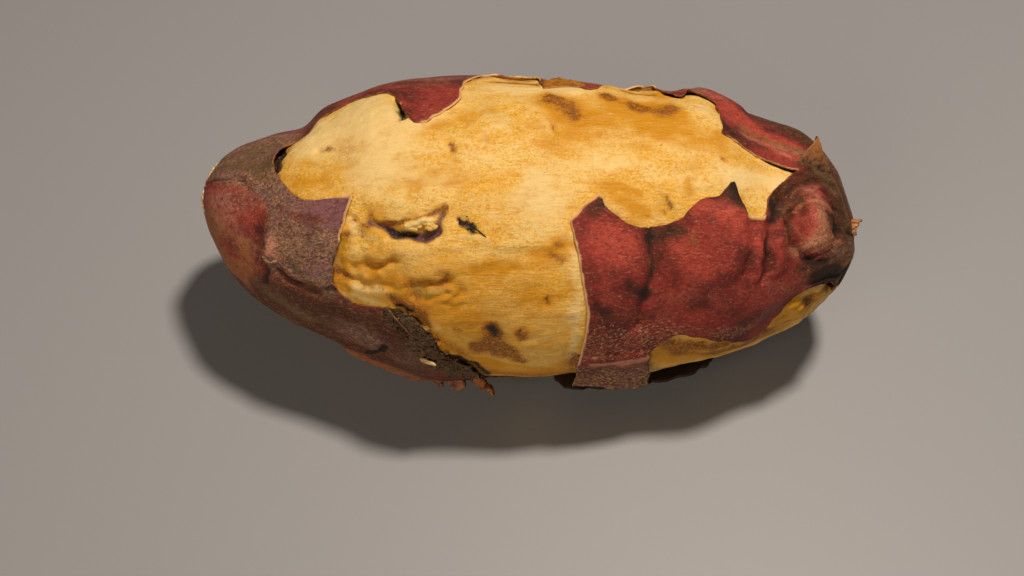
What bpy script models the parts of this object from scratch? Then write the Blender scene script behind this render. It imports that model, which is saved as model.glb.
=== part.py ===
# A roasted sweet potato lying on its side, with the skin torn off its upper face.
# Metres, +Z up. It lies along X, the torn face looks up and toward -Y, and it rests
# on a small flat spot at z = 0.
#
# Places on the potato are given as (x, around): x along it in mm, and around in
# degrees, measured over the top from the side that faces -Y.

import math

import bmesh
import bpy
import numpy as np
from mathutils import Vector, noise

MM = 0.001

# Driving dimensions, in mm
SKIN = 0.9                # how far the skin stands above the bared flesh
AXIS_HEIGHT = 29.5        # the middle of the potato above the ground
FLATTENING = 0.955        # height of a cross-section over its width
STEM_RISE = 2.5           # the stem end points slightly up
STEM_BEND_START = 35.0    # x, to the left, where that rise begins
ROLL_RADIUS = 32.0        # turns degrees around the potato into mm along its surface
CENTRING = (-0.14, -0.45, 0.0)   # puts the middle of its overall box over the origin

# x, half width and sideways shift of the middle, from the stem end to the root end
STATIONS = (
    (-70.5, 0.0, 5.9), (-69.6, 4.3, 5.8), (-67.5, 8.9, 5.3), (-63.0, 14.2, 3.3),
    (-55.0, 19.0, 0.7), (-45.0, 25.0, 1.3), (-30.0, 30.8, 0.4), (-14.0, 33.8, -0.2),
    (3.0, 33.4, 0.4), (20.0, 31.9, 0.3), (35.0, 29.8, 0.1), (48.0, 25.0, -0.1),
    (58.0, 20.2, 0.3), (65.0, 13.6, -0.5), (68.7, 7.2, -2.4), (70.7, 0.0, -3.7),
)
# Gentle lumps over the whole body: height in mm, waves per mm along, waves around, phase
LUMPS = ((0.5, 0.016, 2, 1.3), (0.35, 0.031, -3, 0.4), (0.3, 0.047, 1, 2.0))

# The edge of the torn window, run by run, as (x, around)
TORN_EDGE = {
    "upper edge": (
        (-50, 104), (-44, 113), (-36, 118), (-30, 119), (-25.5, 104), (-21, 94),
        (-17.5, 100), (-14.5, 104), (-13, 123), (-6.5, 135), (0.5, 127), (3, 115),
        (9, 121), (12, 112), (23.5, 127), (29, 115), (38.5, 117), (38, 97),
        (43.5, 89), (48, 90), (53.5, 81)),
    "top of the panel": (
        (47.5, 67), (46, 56), (42.5, 56), (39.5, 71), (37, 64), (33, 62),
        (28.5, 54), (22, 51.5), (15.5, 56), (13, 63), (7.5, 54)),
    "side of the panel": ((9.5, 36), (11, 19), (9.2, -8)),
    "foot of the panel": (
        (23.5, -9), (24.5, -3), (30, 5), (39, -2), (46.5, -17), (49.5, -2),
        (53.5, 10), (55.5, 19), (63, 10)),
    "under side": ((66, -6), (60, -27), (45, -43), (25, -50), (6, -47), (-5, -38)),
    "lower left": (
        (-9.5, -22), (-12.5, -6), (-17.5, 1), (-20.5, 14), (-23, 19), (-30, 19),
        (-36.5, 18), (-40, 26), (-38.5, 44), (-35, 63)),
    "stem cap": ((-45.5, 62.5), (-51, 76), (-52.5, 92)),
}
# Points of the edge where the tear turns a sharp corner
CORNERS = ((39.5, 71), (13, 63), (7.5, 54), (9.2, -8), (23.5, -9), (-35, 63), (53.5, 81),
           (46, 56), (42.5, 56), (38.5, 117), (38, 97))

# Relief as (line of places, half width in mm, height in mm)
FLESH_RELIEF = (
    (((-52, 86), (-51, 100)), 2.4, -1.7),                            # gap under the stem cap
    (((-27, 106), (-25, 98)), 1.6, -1.4),                            # pit beside the strip
    (((49.5, 87), (53.5, 83)), 1.5, -1.5),                           # gap at the root end
    (((62, 9), (64.5, 0)), 2.0, -1.8),                               # hole at the lower right
    (((-31.5, 55), (-24, 56), (-16.5, 57)), 1.5, -1.3),              # gouge
    (((-31, 58), (-24, 61.5), (-17, 60)), 1.3, 0.5),                 # its upper lip
    (((-34, 37), (-27.5, 35)), 1.8, -0.8),                           # hollows by the cap
    (((-39.5, 29.5), (-33, 29), (-24, 31)), 1.2, -1.0),
    (((-24, 31.5), (-17.5, 34)), 1.8, -0.8),
    (((-36, 25), (-29, 26)), 1.6, 0.5),
    (((-12, 53), (-11, 52)), 1.0, -0.8),                             # black pit
    (((-12, -1), (-2, -6), (8, -10)), 1.2, -0.5),                    # crease near the bottom
    (((58, 6), (59, -4)), 1.6, 0.7),                                 # torn lump, lower right
)
SKIN_RELIEF = (
    (((-52.7, 42), (-52.7, 33)), 1.9, 0.8),                          # blister
    (((-55.5, 45), (-55.3, 44)), 1.6, -0.8),                         # dimple
    (((-67.5, 81), (-60, 80), (-59, 74), (-53, 71)), 1.3, -0.6),     # cracks of the cap
    (((-51, 24), (-46, 20), (-40, 17)), 1.6, -0.8),
    (((-53.9, 26), (-54.2, 12)), 1.5, -0.6),
    (((50.8, 58), (51.3, 47), (54, 40), (57, 31), (65, 14)), 1.7, -1.1),   # folds, root end
    (((55, 78), (61, 79)), 1.4, -1.1),
    (((48, 69), (54.5, 80)), 1.6, -0.9),
    (((56, 72), (56.3, 53)), 1.5, -0.5),
    (((61.5, 93), (64, 75), (67, 60)), 1.7, 1.0),
    (((57.5, 66), (57.5, 50)), 2.4, 0.8),
    (((22.8, 52), (23.2, 38), (22.6, 22)), 1.3, -0.5),               # upright crease, panel
    (((43.2, 54), (42.6, 33)), 1.6, -0.4),
    (((47, 55), (46.3, 28)), 1.6, -0.5),
    (((31.8, 121), (37, 128), (43, 122)), 2.6, 1.0),                 # bump at the upper right
    (((-28.9, 17), (-24.5, 10)), 1.2, -0.6),                         # crease, lower left
    (((-31.5, -7), (-29.8, -4)), 1.2, -0.9),
)

# Loose ends of skin and flesh. Each is a tongue that leaves the surface at foot and
# heads along the surface (0 is +X, 90 is over the top), with its length and width in
# mm, its lift off the surface in degrees at the foot and at the tip, and its thickness.
TONGUES = (
    dict(name="hem", foot=(16.4, -5), heading=-90, length=11.0, width=14.6, taper=0.02,
         lift=(2, 26), thickness=0.9),
    dict(name="under lip", foot=(21.5, -60), heading=90, length=8.5, width=35, taper=0.1,
         lift=(18, 34), thickness=0.8),
    dict(name="spike", foot=(58.2, 92), heading=105, length=6.2, width=4.6, taper=0.85,
         lift=(62, 84), thickness=0.8),
    dict(name="curl left", foot=(6.8, 133), heading=-90, length=4.4, width=9.0, taper=0.3,
         lift=(8, 34), thickness=0.7),
    dict(name="curl right", foot=(20.5, 134), heading=-90, length=4.2, width=11.0, taper=0.3,
         lift=(8, 30), thickness=0.7),
    dict(name="flake low", foot=(-14.5, -25), heading=-20, length=6.6, width=3.4, taper=0.7,
         lift=(12, 30), thickness=0.8),
    dict(name="flake mid", foot=(-17.0, -26), heading=-35, length=4.6, width=3.0, taper=0.7,
         lift=(14, 34), thickness=0.8),
    dict(name="root flake", foot=(66.0, 72), heading=10, length=3.4, width=2.4, taper=0.4,
         lift=(55, 80), thickness=0.8),
)
STEM_SCAR = dict(x=-69.3, around=100, along=1.7, across=4.6)   # pale stub where it grew, mm

# Fineness, in mm except the two counts
RINGS = 46
SEGMENTS = 60
FLESH_CELL = 2.3
TONGUE_CELL = 2.0
TEAR_STEPS = 3            # points along the tear between two given ones
TEAR_RAGGEDNESS = 0.55
CUT_REACH = 5.0           # how far the cutting pieces reach above the skin

SKIN_COLOUR = (0.165, 0.030, 0.032, 1.0)
FLESH_COLOUR = (0.72, 0.43, 0.11, 1.0)


def smooth_curve(xs, values, at):
    """Cubic through the given values that never swings past them."""
    steps = np.diff(xs)
    slopes = np.diff(values) / steps
    tangents = np.zeros(len(xs))
    tangents[0], tangents[-1] = slopes[0], slopes[-1]
    same_way = slopes[:-1] * slopes[1:] > 0
    before = 2 * steps[1:] + steps[:-1]
    after = steps[1:] + 2 * steps[:-1]
    safe = np.where(same_way, slopes[:-1] * slopes[1:], 1.0)
    blend = (before + after) * safe / (before * slopes[1:] + after * slopes[:-1] + 1e-12)
    tangents[1:-1] = np.where(same_way, blend, 0.0)
    span = np.clip(np.searchsorted(xs, at) - 1, 0, len(xs) - 2)
    t = (at - xs[span]) / steps[span]
    return ((2 * t**3 - 3 * t**2 + 1) * values[span]
            + (t**3 - 2 * t**2 + t) * steps[span] * tangents[span]
            + (3 * t**2 - 2 * t**3) * values[span + 1]
            + (t**3 - t**2) * steps[span] * tangents[span + 1])


def squared_width(x):
    xs, widths, _ = np.array(STATIONS).T
    return np.clip(smooth_curve(xs, widths**2, np.clip(x, xs[0], xs[-1])), 0, None)


def lumps(x, around):
    return sum(tall * np.sin(2 * math.pi * along * x + across * around + phase)
               for tall, along, across, phase in LUMPS)


def on_potato(x, around, height):
    """World points, in metres, at a height in mm above the flesh of the whole potato."""
    xs, _, shifts = np.array(STATIONS).T
    x = np.clip(x, xs[0], xs[-1])
    width = np.sqrt(squared_width(x))
    rise = STEM_RISE * np.clip((-x - STEM_BEND_START) / STEM_BEND_START, 0, None) ** 2
    centre = np.stack([x, smooth_curve(xs, shifts, x), AXIS_HEIGHT + rise], axis=-1)
    ring = np.stack([0 * x, -width * np.cos(around), FLATTENING * width * np.sin(around)], -1)
    taper = (squared_width(x + 0.05) - squared_width(x - 0.05)) / 0.1
    outward = np.stack([-taper / 2, ring[..., 1], ring[..., 2] / FLATTENING**2], axis=-1)
    outward /= np.linalg.norm(outward, axis=-1, keepdims=True) + 1e-9
    end_fade = np.clip(width / STATIONS[3][1], 0, 1)
    raised = height + end_fade * lumps(x, around)
    points = centre + ring + outward * raised[..., None]
    points += CENTRING
    points[..., 2] = np.maximum(points[..., 2], 0)        # the flat spot it rests on
    return points * MM


def unrolled(places):
    """Places as flat points: mm along the potato and mm around it."""
    places = np.array(places, dtype=float)
    return np.stack([places[:, 0], np.radians(places[:, 1]) * ROLL_RADIUS], axis=-1)


def distance_to_line(points, places):
    line = unrolled(places)
    nearest = np.full(len(points), 1e9)
    for start, end in zip(line[:-1], line[1:]):
        run = end - start
        along = np.clip((points - start) @ run / (run @ run), 0, 1)
        gap = np.linalg.norm(points - start - along[:, None] * run, axis=1)
        nearest = np.minimum(nearest, gap)
    return nearest


def relief(points, lines, roughness, grain):
    """Height in mm at flat points: the named lines over a gentle random roughness."""
    height = np.array([roughness * noise.noise(Vector((p[0] / grain, p[1] / grain, 7.3)))
                       for p in points])
    for places, half_width, tall in lines:
        height += tall * np.exp(-(distance_to_line(points, places) / half_width) ** 2)
    return height


def coordinates(mesh):
    flat = np.empty(len(mesh.vertices) * 3)
    mesh.vertices.foreach_get("co", flat)
    return flat.reshape(-1, 3)


def set_coordinates(mesh, points):
    mesh.vertices.foreach_set("co", points.ravel())
    mesh.update()


def wrap(mesh):
    """Roll a flat mesh (mm along, mm around, mm high) onto the potato."""
    flat = coordinates(mesh)
    set_coordinates(mesh, on_potato(flat[:, 0], flat[:, 1] / ROLL_RADIUS, flat[:, 2]))


def new_object(name, mesh, collection):
    obj = bpy.data.objects.new(name, mesh)
    collection.objects.link(obj)
    return obj


def baked(obj):
    """The object's mesh with its modifiers applied, triangulated."""
    graph = bpy.context.evaluated_depsgraph_get()
    mesh = bpy.data.meshes.new_from_object(obj.evaluated_get(graph))
    shape = bmesh.new()
    shape.from_mesh(mesh)
    bmesh.ops.triangulate(shape, faces=shape.faces)
    shape.to_mesh(mesh)
    shape.free()
    return mesh


def material(name, colour, roughness):
    made = bpy.data.materials.new(name)
    made.use_nodes = True
    shader = made.node_tree.nodes["Principled BSDF"]
    shader.inputs["Base Color"].default_value = colour
    shader.inputs["Roughness"].default_value = roughness
    shader.inputs["Metallic"].default_value = 0.0
    return made


def whole_potato(collection):
    """The potato with all its skin on: a sphere, its poles at the ends, drawn to size."""
    shape = bmesh.new()
    bmesh.ops.create_uvsphere(shape, u_segments=SEGMENTS, v_segments=RINGS, radius=1.0)
    mesh = bpy.data.meshes.new("sweet_potato")
    shape.to_mesh(mesh)
    shape.free()
    ball = coordinates(mesh)
    first, last = STATIONS[0][0], STATIONS[-1][0]
    x = first + (last - first) * (ball[:, 2] + 1) / 2
    around = np.arctan2(ball[:, 1], ball[:, 0])
    flat = np.stack([x, around * ROLL_RADIUS], axis=-1)
    height = SKIN + relief(flat, SKIN_RELIEF, roughness=0.35, grain=9.0)
    height = np.where(np.abs(ball[:, 2]) > 0.999, SKIN, height)
    set_coordinates(mesh, on_potato(x, around, height))
    mesh.flip_normals()
    return new_object("sweet_potato", mesh, collection)


def torn_outline(collection):
    """The window's edge as a flat, filled curve, thick enough to cut right through."""
    curve = bpy.data.curves.new("torn outline", "CURVE")
    curve.dimensions = "2D"
    curve.fill_mode = "BOTH"
    curve.extrude = 2 * CUT_REACH
    places = [place for run in TORN_EDGE.values() for place in run]
    spline = curve.splines.new("BEZIER")
    spline.use_cyclic_u = True
    spline.resolution_u = TEAR_STEPS
    spline.bezier_points.add(len(places) - 1)
    for point, place, flat in zip(spline.bezier_points, places, unrolled(places)):
        point.co = (flat[0], flat[1], 0)
        handle = "VECTOR" if place in CORNERS else "AUTO"
        point.handle_left_type = handle
        point.handle_right_type = handle
    obj = new_object("torn outline", curve, collection)
    bpy.context.view_layer.update()
    graph = bpy.context.evaluated_depsgraph_get()
    mesh = bpy.data.meshes.new_from_object(obj.evaluated_get(graph))
    bpy.data.objects.remove(obj)
    shape = bmesh.new()
    shape.from_mesh(mesh)
    bmesh.ops.remove_doubles(shape, verts=shape.verts, dist=0.001)
    for vertex in shape.verts:
        here = Vector((vertex.co.x, vertex.co.y, 0)) / 2.6
        vertex.co += TEAR_RAGGEDNESS * Vector((noise.noise(here), noise.noise(-here), 0))
    shape.to_mesh(mesh)
    shape.free()
    return new_object("torn outline", mesh, collection)


def window_cutter(collection, flesh):
    """What the tear took away: from the bared flesh, with its relief, out past the skin."""
    outline = torn_outline(collection)
    flat = coordinates(outline.data)
    low, high = flat.min(axis=0) - 3, flat.max(axis=0) + 3
    columns = int((high[0] - low[0]) / FLESH_CELL)
    rows = int((high[1] - low[1]) / FLESH_CELL)
    shape = bmesh.new()
    bmesh.ops.create_grid(shape, x_segments=columns, y_segments=rows, size=0.5)
    for vertex in shape.verts:
        vertex.co.x = low[0] + (vertex.co.x + 0.5) * (high[0] - low[0])
        vertex.co.y = low[1] + (vertex.co.y + 0.5) * (high[1] - low[1])
        vertex.co.z = 0
    mesh = bpy.data.meshes.new("window")
    shape.to_mesh(mesh)
    shape.free()
    window = new_object("window", mesh, collection)
    slab = window.modifiers.new("slab", "SOLIDIFY")
    slab.thickness = CUT_REACH
    slab.offset = 1.0
    inside = window.modifiers.new("inside the tear", "BOOLEAN")
    inside.operation = "INTERSECT"
    inside.object = outline
    bpy.context.view_layer.update()
    window.data = baked(window)
    window.modifiers.clear()
    bpy.data.objects.remove(outline)

    flat = coordinates(window.data)
    floor = flat[:, 2] < CUT_REACH / 2
    dips = relief(flat[:, :2], FLESH_RELIEF, roughness=0.25, grain=6.0)
    flat[:, 2] = np.where(floor, np.minimum(dips, 0.5 * SKIN), CUT_REACH)
    set_coordinates(window.data, flat)
    wrap(window.data)
    window.data.materials.append(flesh)
    window.hide_render = True
    window.display_type = "WIRE"
    return window


def tongue(settings, collection):
    """A loose end: a flat strip that narrows to its tip and bends up off the surface."""
    length, width = settings["length"], settings["width"]
    steps = max(3, round(length / TONGUE_CELL))
    lanes = max(2, round(width / TONGUE_CELL))
    shape = bmesh.new()
    bmesh.ops.create_grid(shape, x_segments=steps, y_segments=lanes, size=0.5)
    mesh = bpy.data.meshes.new(settings["name"])
    shape.to_mesh(mesh)
    shape.free()
    flat = coordinates(mesh)
    along = flat[:, 0] + 0.5
    ragged = np.array([noise.noise(Vector((length, 5 * side, width))) for side in flat[:, 1]])
    reach = length * along * (1 + 0.18 * ragged * along)
    across = width * flat[:, 1] * (1 - settings["taper"] * along)
    lift = np.radians(settings["lift"][0]
                      + (settings["lift"][1] - settings["lift"][0]) * along / 2)
    turn = math.radians(settings["heading"])
    foot = unrolled([settings["foot"]])[0]
    onward = reach * np.cos(lift)
    flat[:, 0] = foot[0] + onward * math.cos(turn) - across * math.sin(turn)
    flat[:, 1] = foot[1] + onward * math.sin(turn) + across * math.cos(turn)
    flat[:, 2] = SKIN / 2 - 0.6 + reach * np.sin(lift)
    set_coordinates(mesh, flat)
    wrap(mesh)
    obj = new_object(settings["name"], mesh, collection)
    sheet = obj.modifiers.new("thickness", "SOLIDIFY")
    sheet.thickness = settings["thickness"] * MM
    sheet.offset = 0.0
    return obj


def stem_scar(collection):
    """The pale stub at the stem end."""
    place = on_potato(np.array([STEM_SCAR["x"]]), np.radians([STEM_SCAR["around"]]),
                      np.array([0.0]))[0]
    shape = bmesh.new()
    bmesh.ops.create_icosphere(shape, subdivisions=2, radius=1.0)
    size = Vector((STEM_SCAR["along"], STEM_SCAR["across"], STEM_SCAR["across"])) * MM
    bmesh.ops.scale(shape, vec=size, verts=shape.verts)
    bmesh.ops.translate(shape, vec=Vector(place), verts=shape.verts)
    mesh = bpy.data.meshes.new("stem scar")
    shape.to_mesh(mesh)
    shape.free()
    return new_object("stem scar", mesh, collection)


def build():
    for obj in list(bpy.data.objects):
        bpy.data.objects.remove(obj)
    scene = bpy.context.scene.collection
    parts = bpy.data.collections.new("Roasted sweet potato")
    cutters = bpy.data.collections.new("Cutters")
    loose = bpy.data.collections.new("Loose ends")
    for group in (parts, cutters, loose):
        scene.children.link(group)

    skin = material("Sweet potato skin", SKIN_COLOUR, 0.6)
    flesh = material("Baked flesh", FLESH_COLOUR, 0.45)
    potato = whole_potato(parts)
    potato.data.materials.append(skin)

    window = window_cutter(cutters, flesh)
    tear = potato.modifiers.new("torn window", "BOOLEAN")
    tear.operation = "DIFFERENCE"
    tear.object = window
    tear.material_mode = "TRANSFER"

    for settings in TONGUES:
        tongue(settings, loose).data.materials.append(skin)
    stem_scar(loose).data.materials.append(flesh)
    join = potato.modifiers.new("loose ends", "BOOLEAN")
    join.operation = "UNION"
    join.operand_type = "COLLECTION"
    join.collection = loose
    join.material_mode = "TRANSFER"

    bpy.context.view_layer.update()
    potato.data = baked(potato)
    potato.modifiers.clear()
    for obj in list(loose.objects):
        bpy.data.objects.remove(obj)
    bpy.data.collections.remove(loose)
    potato.data.shade_smooth()
    potato.data.set_sharp_from_angle(angle=math.radians(40))


build()
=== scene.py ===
import math

import bpy
import numpy as np
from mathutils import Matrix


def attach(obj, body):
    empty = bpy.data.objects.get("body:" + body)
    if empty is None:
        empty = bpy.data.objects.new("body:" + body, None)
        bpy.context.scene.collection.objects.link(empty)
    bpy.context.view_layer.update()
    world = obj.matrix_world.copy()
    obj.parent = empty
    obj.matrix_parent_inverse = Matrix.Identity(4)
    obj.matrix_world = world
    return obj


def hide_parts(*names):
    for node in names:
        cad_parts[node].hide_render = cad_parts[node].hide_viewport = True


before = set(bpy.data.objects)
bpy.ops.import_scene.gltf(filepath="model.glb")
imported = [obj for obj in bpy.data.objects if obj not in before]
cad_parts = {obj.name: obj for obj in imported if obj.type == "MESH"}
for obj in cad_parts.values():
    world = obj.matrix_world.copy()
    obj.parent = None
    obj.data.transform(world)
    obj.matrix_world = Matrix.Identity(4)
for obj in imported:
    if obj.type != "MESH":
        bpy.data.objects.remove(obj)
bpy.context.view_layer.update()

mm = 0.001
tiny = 1e-9  # keeps a division finite

# Places on the potato are (x, around): mm along it from stem end to root end, and
# degrees around it, over the top from the side that faces the camera. "Flat" points
# are the same surface unrolled: mm along and mm around. Other sizes are in mm too. A row
# that draws a line on it is x, around, x, around and so on, then what the table's note says.

potato = {
    "axisHeight": 29.5,
    "flattening": 0.955,  # height of its ellipses as a share of their width
    "stemRise": 2.5,
    "stemBendStart": 35.0,
    "rollRadius": 32.0,  # what unrolls degrees around into mm
    "centring": (-0.14, -0.45, 0.0),
    "slopeStep": 0.05,  # the widths on both sides of a place give its slope
    "lowest": 0.02,
    # x, half width, sideways shift of the middle
    "stations": (
        (-70.5, 0.0, 5.9), (-69.6, 4.3, 5.8), (-67.5, 8.9, 5.3), (-63.0, 14.2, 3.3),
        (-55.0, 19.0, 0.7), (-45.0, 25.0, 1.3), (-30.0, 30.8, 0.4), (-14.0, 33.8, -0.2),
        (3.0, 33.4, 0.4), (20.0, 31.9, 0.3), (35.0, 29.8, 0.1), (48.0, 25.0, -0.1),
        (58.0, 20.2, 0.3), (64.0, 13.4, -0.5), (67.2, 7.2, -2.2), (69.1, 0.0, -3.4)),
    # height, waves per mm along, waves around, phase
    "lumps": ((0.5, 0.016, 2, 1.3), (0.35, 0.031, -3, 0.4), (0.3, 0.047, 1, 2.0)),
    "lumpFade": 14.2,
    # broad dents in skin and flesh together: line, half width, height
    "dents": (
        (0, 133, 12, 132, 21, 131, 8.0, -1.3), (34, 112, 44, 106, 4.0, -0.5),
        (57, 122, 63, 118, 6.0, 1.2), (31, 138, 31, 126, 3.5, -1.6),
        (-42.5, -28, -42.5, -56, 5.5, -2.7), (-49.5, 110, -49.5, 150, 4.2, -2.6),
        (12, 138, 18, 138, 6.5, -3.2), (-66, -12, -58, -30, -52, -40, 6.0, -0.8),
        (64.5, -2, 63.5, -14, 4.0, -0.9), (49, -28, 54.5, -28, 4.5, 0.8),
        (62.4, -12, 59.2, -22, 3.8, -1.6), (-3, -33, 5, -33, 9.0, -2.0),
        (25, -32, 32, -31, 7.0, -0.7)),
}
stationXs, halfWidths, sideShifts = np.array(potato["stations"]).T


def cubic(t, start, leaving, end, arriving):
    # from start to end as t goes from 0 to 1, with the given slopes at both
    return ((2 * t**3 - 3 * t**2 + 1) * start + (t**3 - 2 * t**2 + t) * leaving
            + (3 * t**2 - 2 * t**3) * end + (t**3 - t**2) * arriving)


def smoothCurve(xs, values, at):
    # cubic through the values, with each slope the weighted harmonic mean of its neighbours,
    # so it never swings past a value
    steps = np.diff(xs)
    slopes = np.diff(values) / steps
    before = 2 * steps[1:] + steps[:-1]
    after = steps[1:] + 2 * steps[:-1]
    product = np.maximum(slopes[:-1] * slopes[1:], 0)
    middle = (before + after) * product / (before * slopes[1:] + after * slopes[:-1] + tiny)
    tangents = np.concatenate([slopes[:1], middle, slopes[-1:]])
    span = np.clip(np.searchsorted(xs, at) - 1, 0, len(xs) - 2)
    run = steps[span]
    return cubic((at - xs[span]) / run, values[span], run * tangents[span],
                 values[span + 1], run * tangents[span + 1])


def ramp(values, start, width):
    # 0 up to start, then evenly up to 1 over the width
    return np.clip((values - start) / width, 0, 1)


def squaredWidth(x):
    # the half width squared, which stays smooth where the potato ends in a round tip
    x = np.clip(x, stationXs[0], stationXs[-1])
    return np.clip(smoothCurve(stationXs, halfWidths**2, x), 0, None)


def onPotato(flat, height):
    # an ellipse around the axis at each x, with the station's width and shift, then moved
    # out along the normal by the height plus a few low sine lumps and the dents; metres
    x = np.clip(flat[:, 0], stationXs[0], stationXs[-1])
    around = flat[:, 1] / potato["rollRadius"]
    width = np.sqrt(squaredWidth(x))
    bend = potato["stemBendStart"]
    rise = potato["stemRise"] * np.clip((-x - bend) / bend, 0, None) ** 2
    shift = smoothCurve(stationXs, sideShifts, x)
    centre = np.stack([x, shift, potato["axisHeight"] + rise], axis=-1)
    up = potato["flattening"] * np.sin(around)
    ring = np.stack([0 * x, -width * np.cos(around), width * up], axis=-1)
    step = potato["slopeStep"]
    taper = (squaredWidth(x + step) - squaredWidth(x - step)) / (2 * step)
    outward = np.stack([-taper / 2, ring[:, 1], ring[:, 2] / potato["flattening"] ** 2], axis=-1)
    outward /= np.linalg.norm(outward, axis=-1, keepdims=True) + tiny
    lump = sum(tall * np.sin(2 * math.pi * along * x + across * around + phase)
               for tall, along, across, phase in potato["lumps"])
    raised = height + lump * ramp(width, 0, potato["lumpFade"])
    raised += paintLines(flat, potato["dents"])
    points = centre + ring + outward * raised[:, None] + potato["centring"]
    points[:, 2] = np.maximum(points[:, 2], potato["lowest"])
    return points * mm


def unrolled(places):
    # degrees around turned into mm around
    places = np.array(places, dtype=float)
    return np.stack([places[:, 0], np.radians(places[:, 1]) * potato["rollRadius"]], axis=-1)


noiseSide = 32  # lattice cells after which the noise repeats


def latticeNoise(points, size, seed):
    # a random value at each corner of a cubic lattice with cells of the given size in mm,
    # blended between corners with an S-curve: -1 to 1
    table = np.random.default_rng(seed).uniform(-1, 1, (noiseSide, noiseSide, noiseSide))
    scaled = points / size
    cell = np.floor(scaled).astype(int)
    part = scaled - cell
    part = part * part * (3 - 2 * part)
    total = 0
    for corner in range(8):
        step = np.array([corner & 1, corner >> 1 & 1, corner >> 2 & 1])
        weight = np.prod(np.where(step, part, 1 - part), axis=-1)
        at = (cell + step) % noiseSide
        total = total + weight * table[at[:, 0], at[:, 1], at[:, 2]]
    return total


def roughNoise(points, size, octaves, seed, stretch=1.0):
    # lattice noise added to itself at half the size and half the height, again and again,
    # and drawn out along X
    points = points / (stretch, 1, 1)
    return sum(latticeNoise(points, size / 2**step, seed + step) / 2**step
               for step in range(octaves))


def apartFrom(points, line):
    # from the nearest spot on each straight piece of the line to each point
    starts, runs = line[:-1], np.diff(line, axis=0)
    gap = points[:, None, :] - starts
    along = (gap * runs).sum(axis=2) / np.maximum((runs**2).sum(axis=1), tiny)
    return gap - np.clip(along, 0, 1)[..., None] * runs


def withinReach(points, line, reach):
    # which points lie in the box round the line, made wider by the reach
    inside = (points > line.min(axis=0) - reach) & (points < line.max(axis=0) + reach)
    return np.flatnonzero(inside.all(axis=1))


blockLength = 4000  # points that are measured at a time, to spare memory


def nearestOnLine(points, line):
    # the smallest distance from each point to any straight piece of the line
    nearest = np.empty(len(points))
    for first in range(0, len(points), blockLength):
        block = slice(first, first + blockLength)
        nearest[block] = np.sqrt((apartFrom(points[block], line) ** 2).sum(axis=2).min(axis=1))
    return nearest


bellReach = 3  # half widths after which a bell curve is left out


def paintLines(points, lines):
    # each line adds its strength times a bell curve of the distance to it
    total = np.zeros(len(points))
    for *places, halfWidth, strength in lines:
        line = unrolled(np.reshape(places, (-1, 2)))
        near = withinReach(points, line, bellReach * halfWidth)
        distance = nearestOnLine(points[near], line)
        total[near] += strength * np.exp(-((distance / halfWidth) ** 2))
    return total


ledgeForm = {
    "cliff": 0.3,  # over which it rises
    "ends": 1.5,  # over which it dies out at both ends
    "reach": 4,  # fades after which it is left out
}


def paintLedges(points, lines):
    # each line lifts the side to its left, full height at the line and fading away from it,
    # so that the line itself is a small cliff
    total = np.zeros(len(points))
    for *places, fade, strength in lines:
        line = unrolled(np.reshape(places, (-1, 2)))
        near = withinReach(points, line, ledgeForm["reach"] * fade)
        apart = apartFrom(points[near], line)
        distance = np.sqrt((apart**2).sum(axis=2))
        closest = distance.argmin(axis=1)
        row = np.arange(len(near))
        run, off = np.diff(line, axis=0)[closest], apart[row, closest]
        left = (run[:, 0] * off[:, 1] - run[:, 1] * off[:, 0]) / np.linalg.norm(run, axis=1)
        ends = np.minimum(*[np.linalg.norm(points[near] - line[end], axis=1) for end in (0, -1)])
        cliff = ramp(ends, 0, ledgeForm["ends"]) * ramp(left, 0, ledgeForm["cliff"])
        total[near] += strength * cliff * np.exp(-distance[row, closest] / fade)
    return total


def withZero(flat):
    # flat points as points in space, for noise
    return np.pad(flat, ((0, 0), (0, 1)))


def wandered(flat, amount, size, seed):
    # flat points pushed about by noise, so that painted lines wander as torn ones do
    push = [roughNoise(withZero(flat), size, 3, seed + 10 * axis) for axis in (0, 1)]
    return flat + amount * np.stack(push, axis=-1)


tear = {
    # run of places along the edge of the window in the skin, and how ragged it is
    "upper edge": ((
        (-50, 104), (-44, 113), (-39.6, 115), (-34, 114), (-29.4, 112), (-26.4, 104), (-25, 97),
        (-23.4, 92), (-21, 92), (-19.2, 95), (-16.8, 99), (-14.8, 102), (-13, 123), (-8.5, 134),
        (0.5, 131), (3, 116), (7, 129), (9.5, 115), (12, 112), (17, 121), (24.5, 133),
        (27.4, 117), (30.5, 113), (33, 119), (38.2, 114), (38.4, 98), (38.4, 92.5), (41.5, 90),
        (45.7, 86), (50, 84), (53.5, 81)), 0.35),
    "top of the panel": ((
        (47.5, 67), (46, 56), (42.5, 56), (39.5, 71), (37, 64), (33, 62),
        (28.5, 54), (22, 51.5), (15.5, 56), (13, 63), (7.5, 54)), 0.22),
    "side of the panel": (((9.5, 36), (11, 19), (9.2, -8)), 0.12),
    "foot of the panel": ((
        (23.5, -9), (24.5, -3), (30, 5), (39, -2), (46.5, -12), (50, 0),
        (52.4, 9.5), (54.6, 15.8), (57.6, 17), (60.8, 14.5), (62, 5)), 0.4),
    "under side": ((
        (63.2, -4), (65, -20), (64, -38), (57, -48), (45, -52), (25, -52), (6, -47),
        (-5, -38)), 0.6),
    "lower left": ((
        (-9.5, -22), (-12.5, -6), (-17.5, 1), (-20.5, 14), (-23, 19), (-30, 19),
        (-36.5, 18), (-40, 26), (-38.5, 44), (-35, 63)), 0.4),
    "stem cap": (((-45.5, 62.5), (-51, 76), (-52.5, 92)), 0.15),
}
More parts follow.
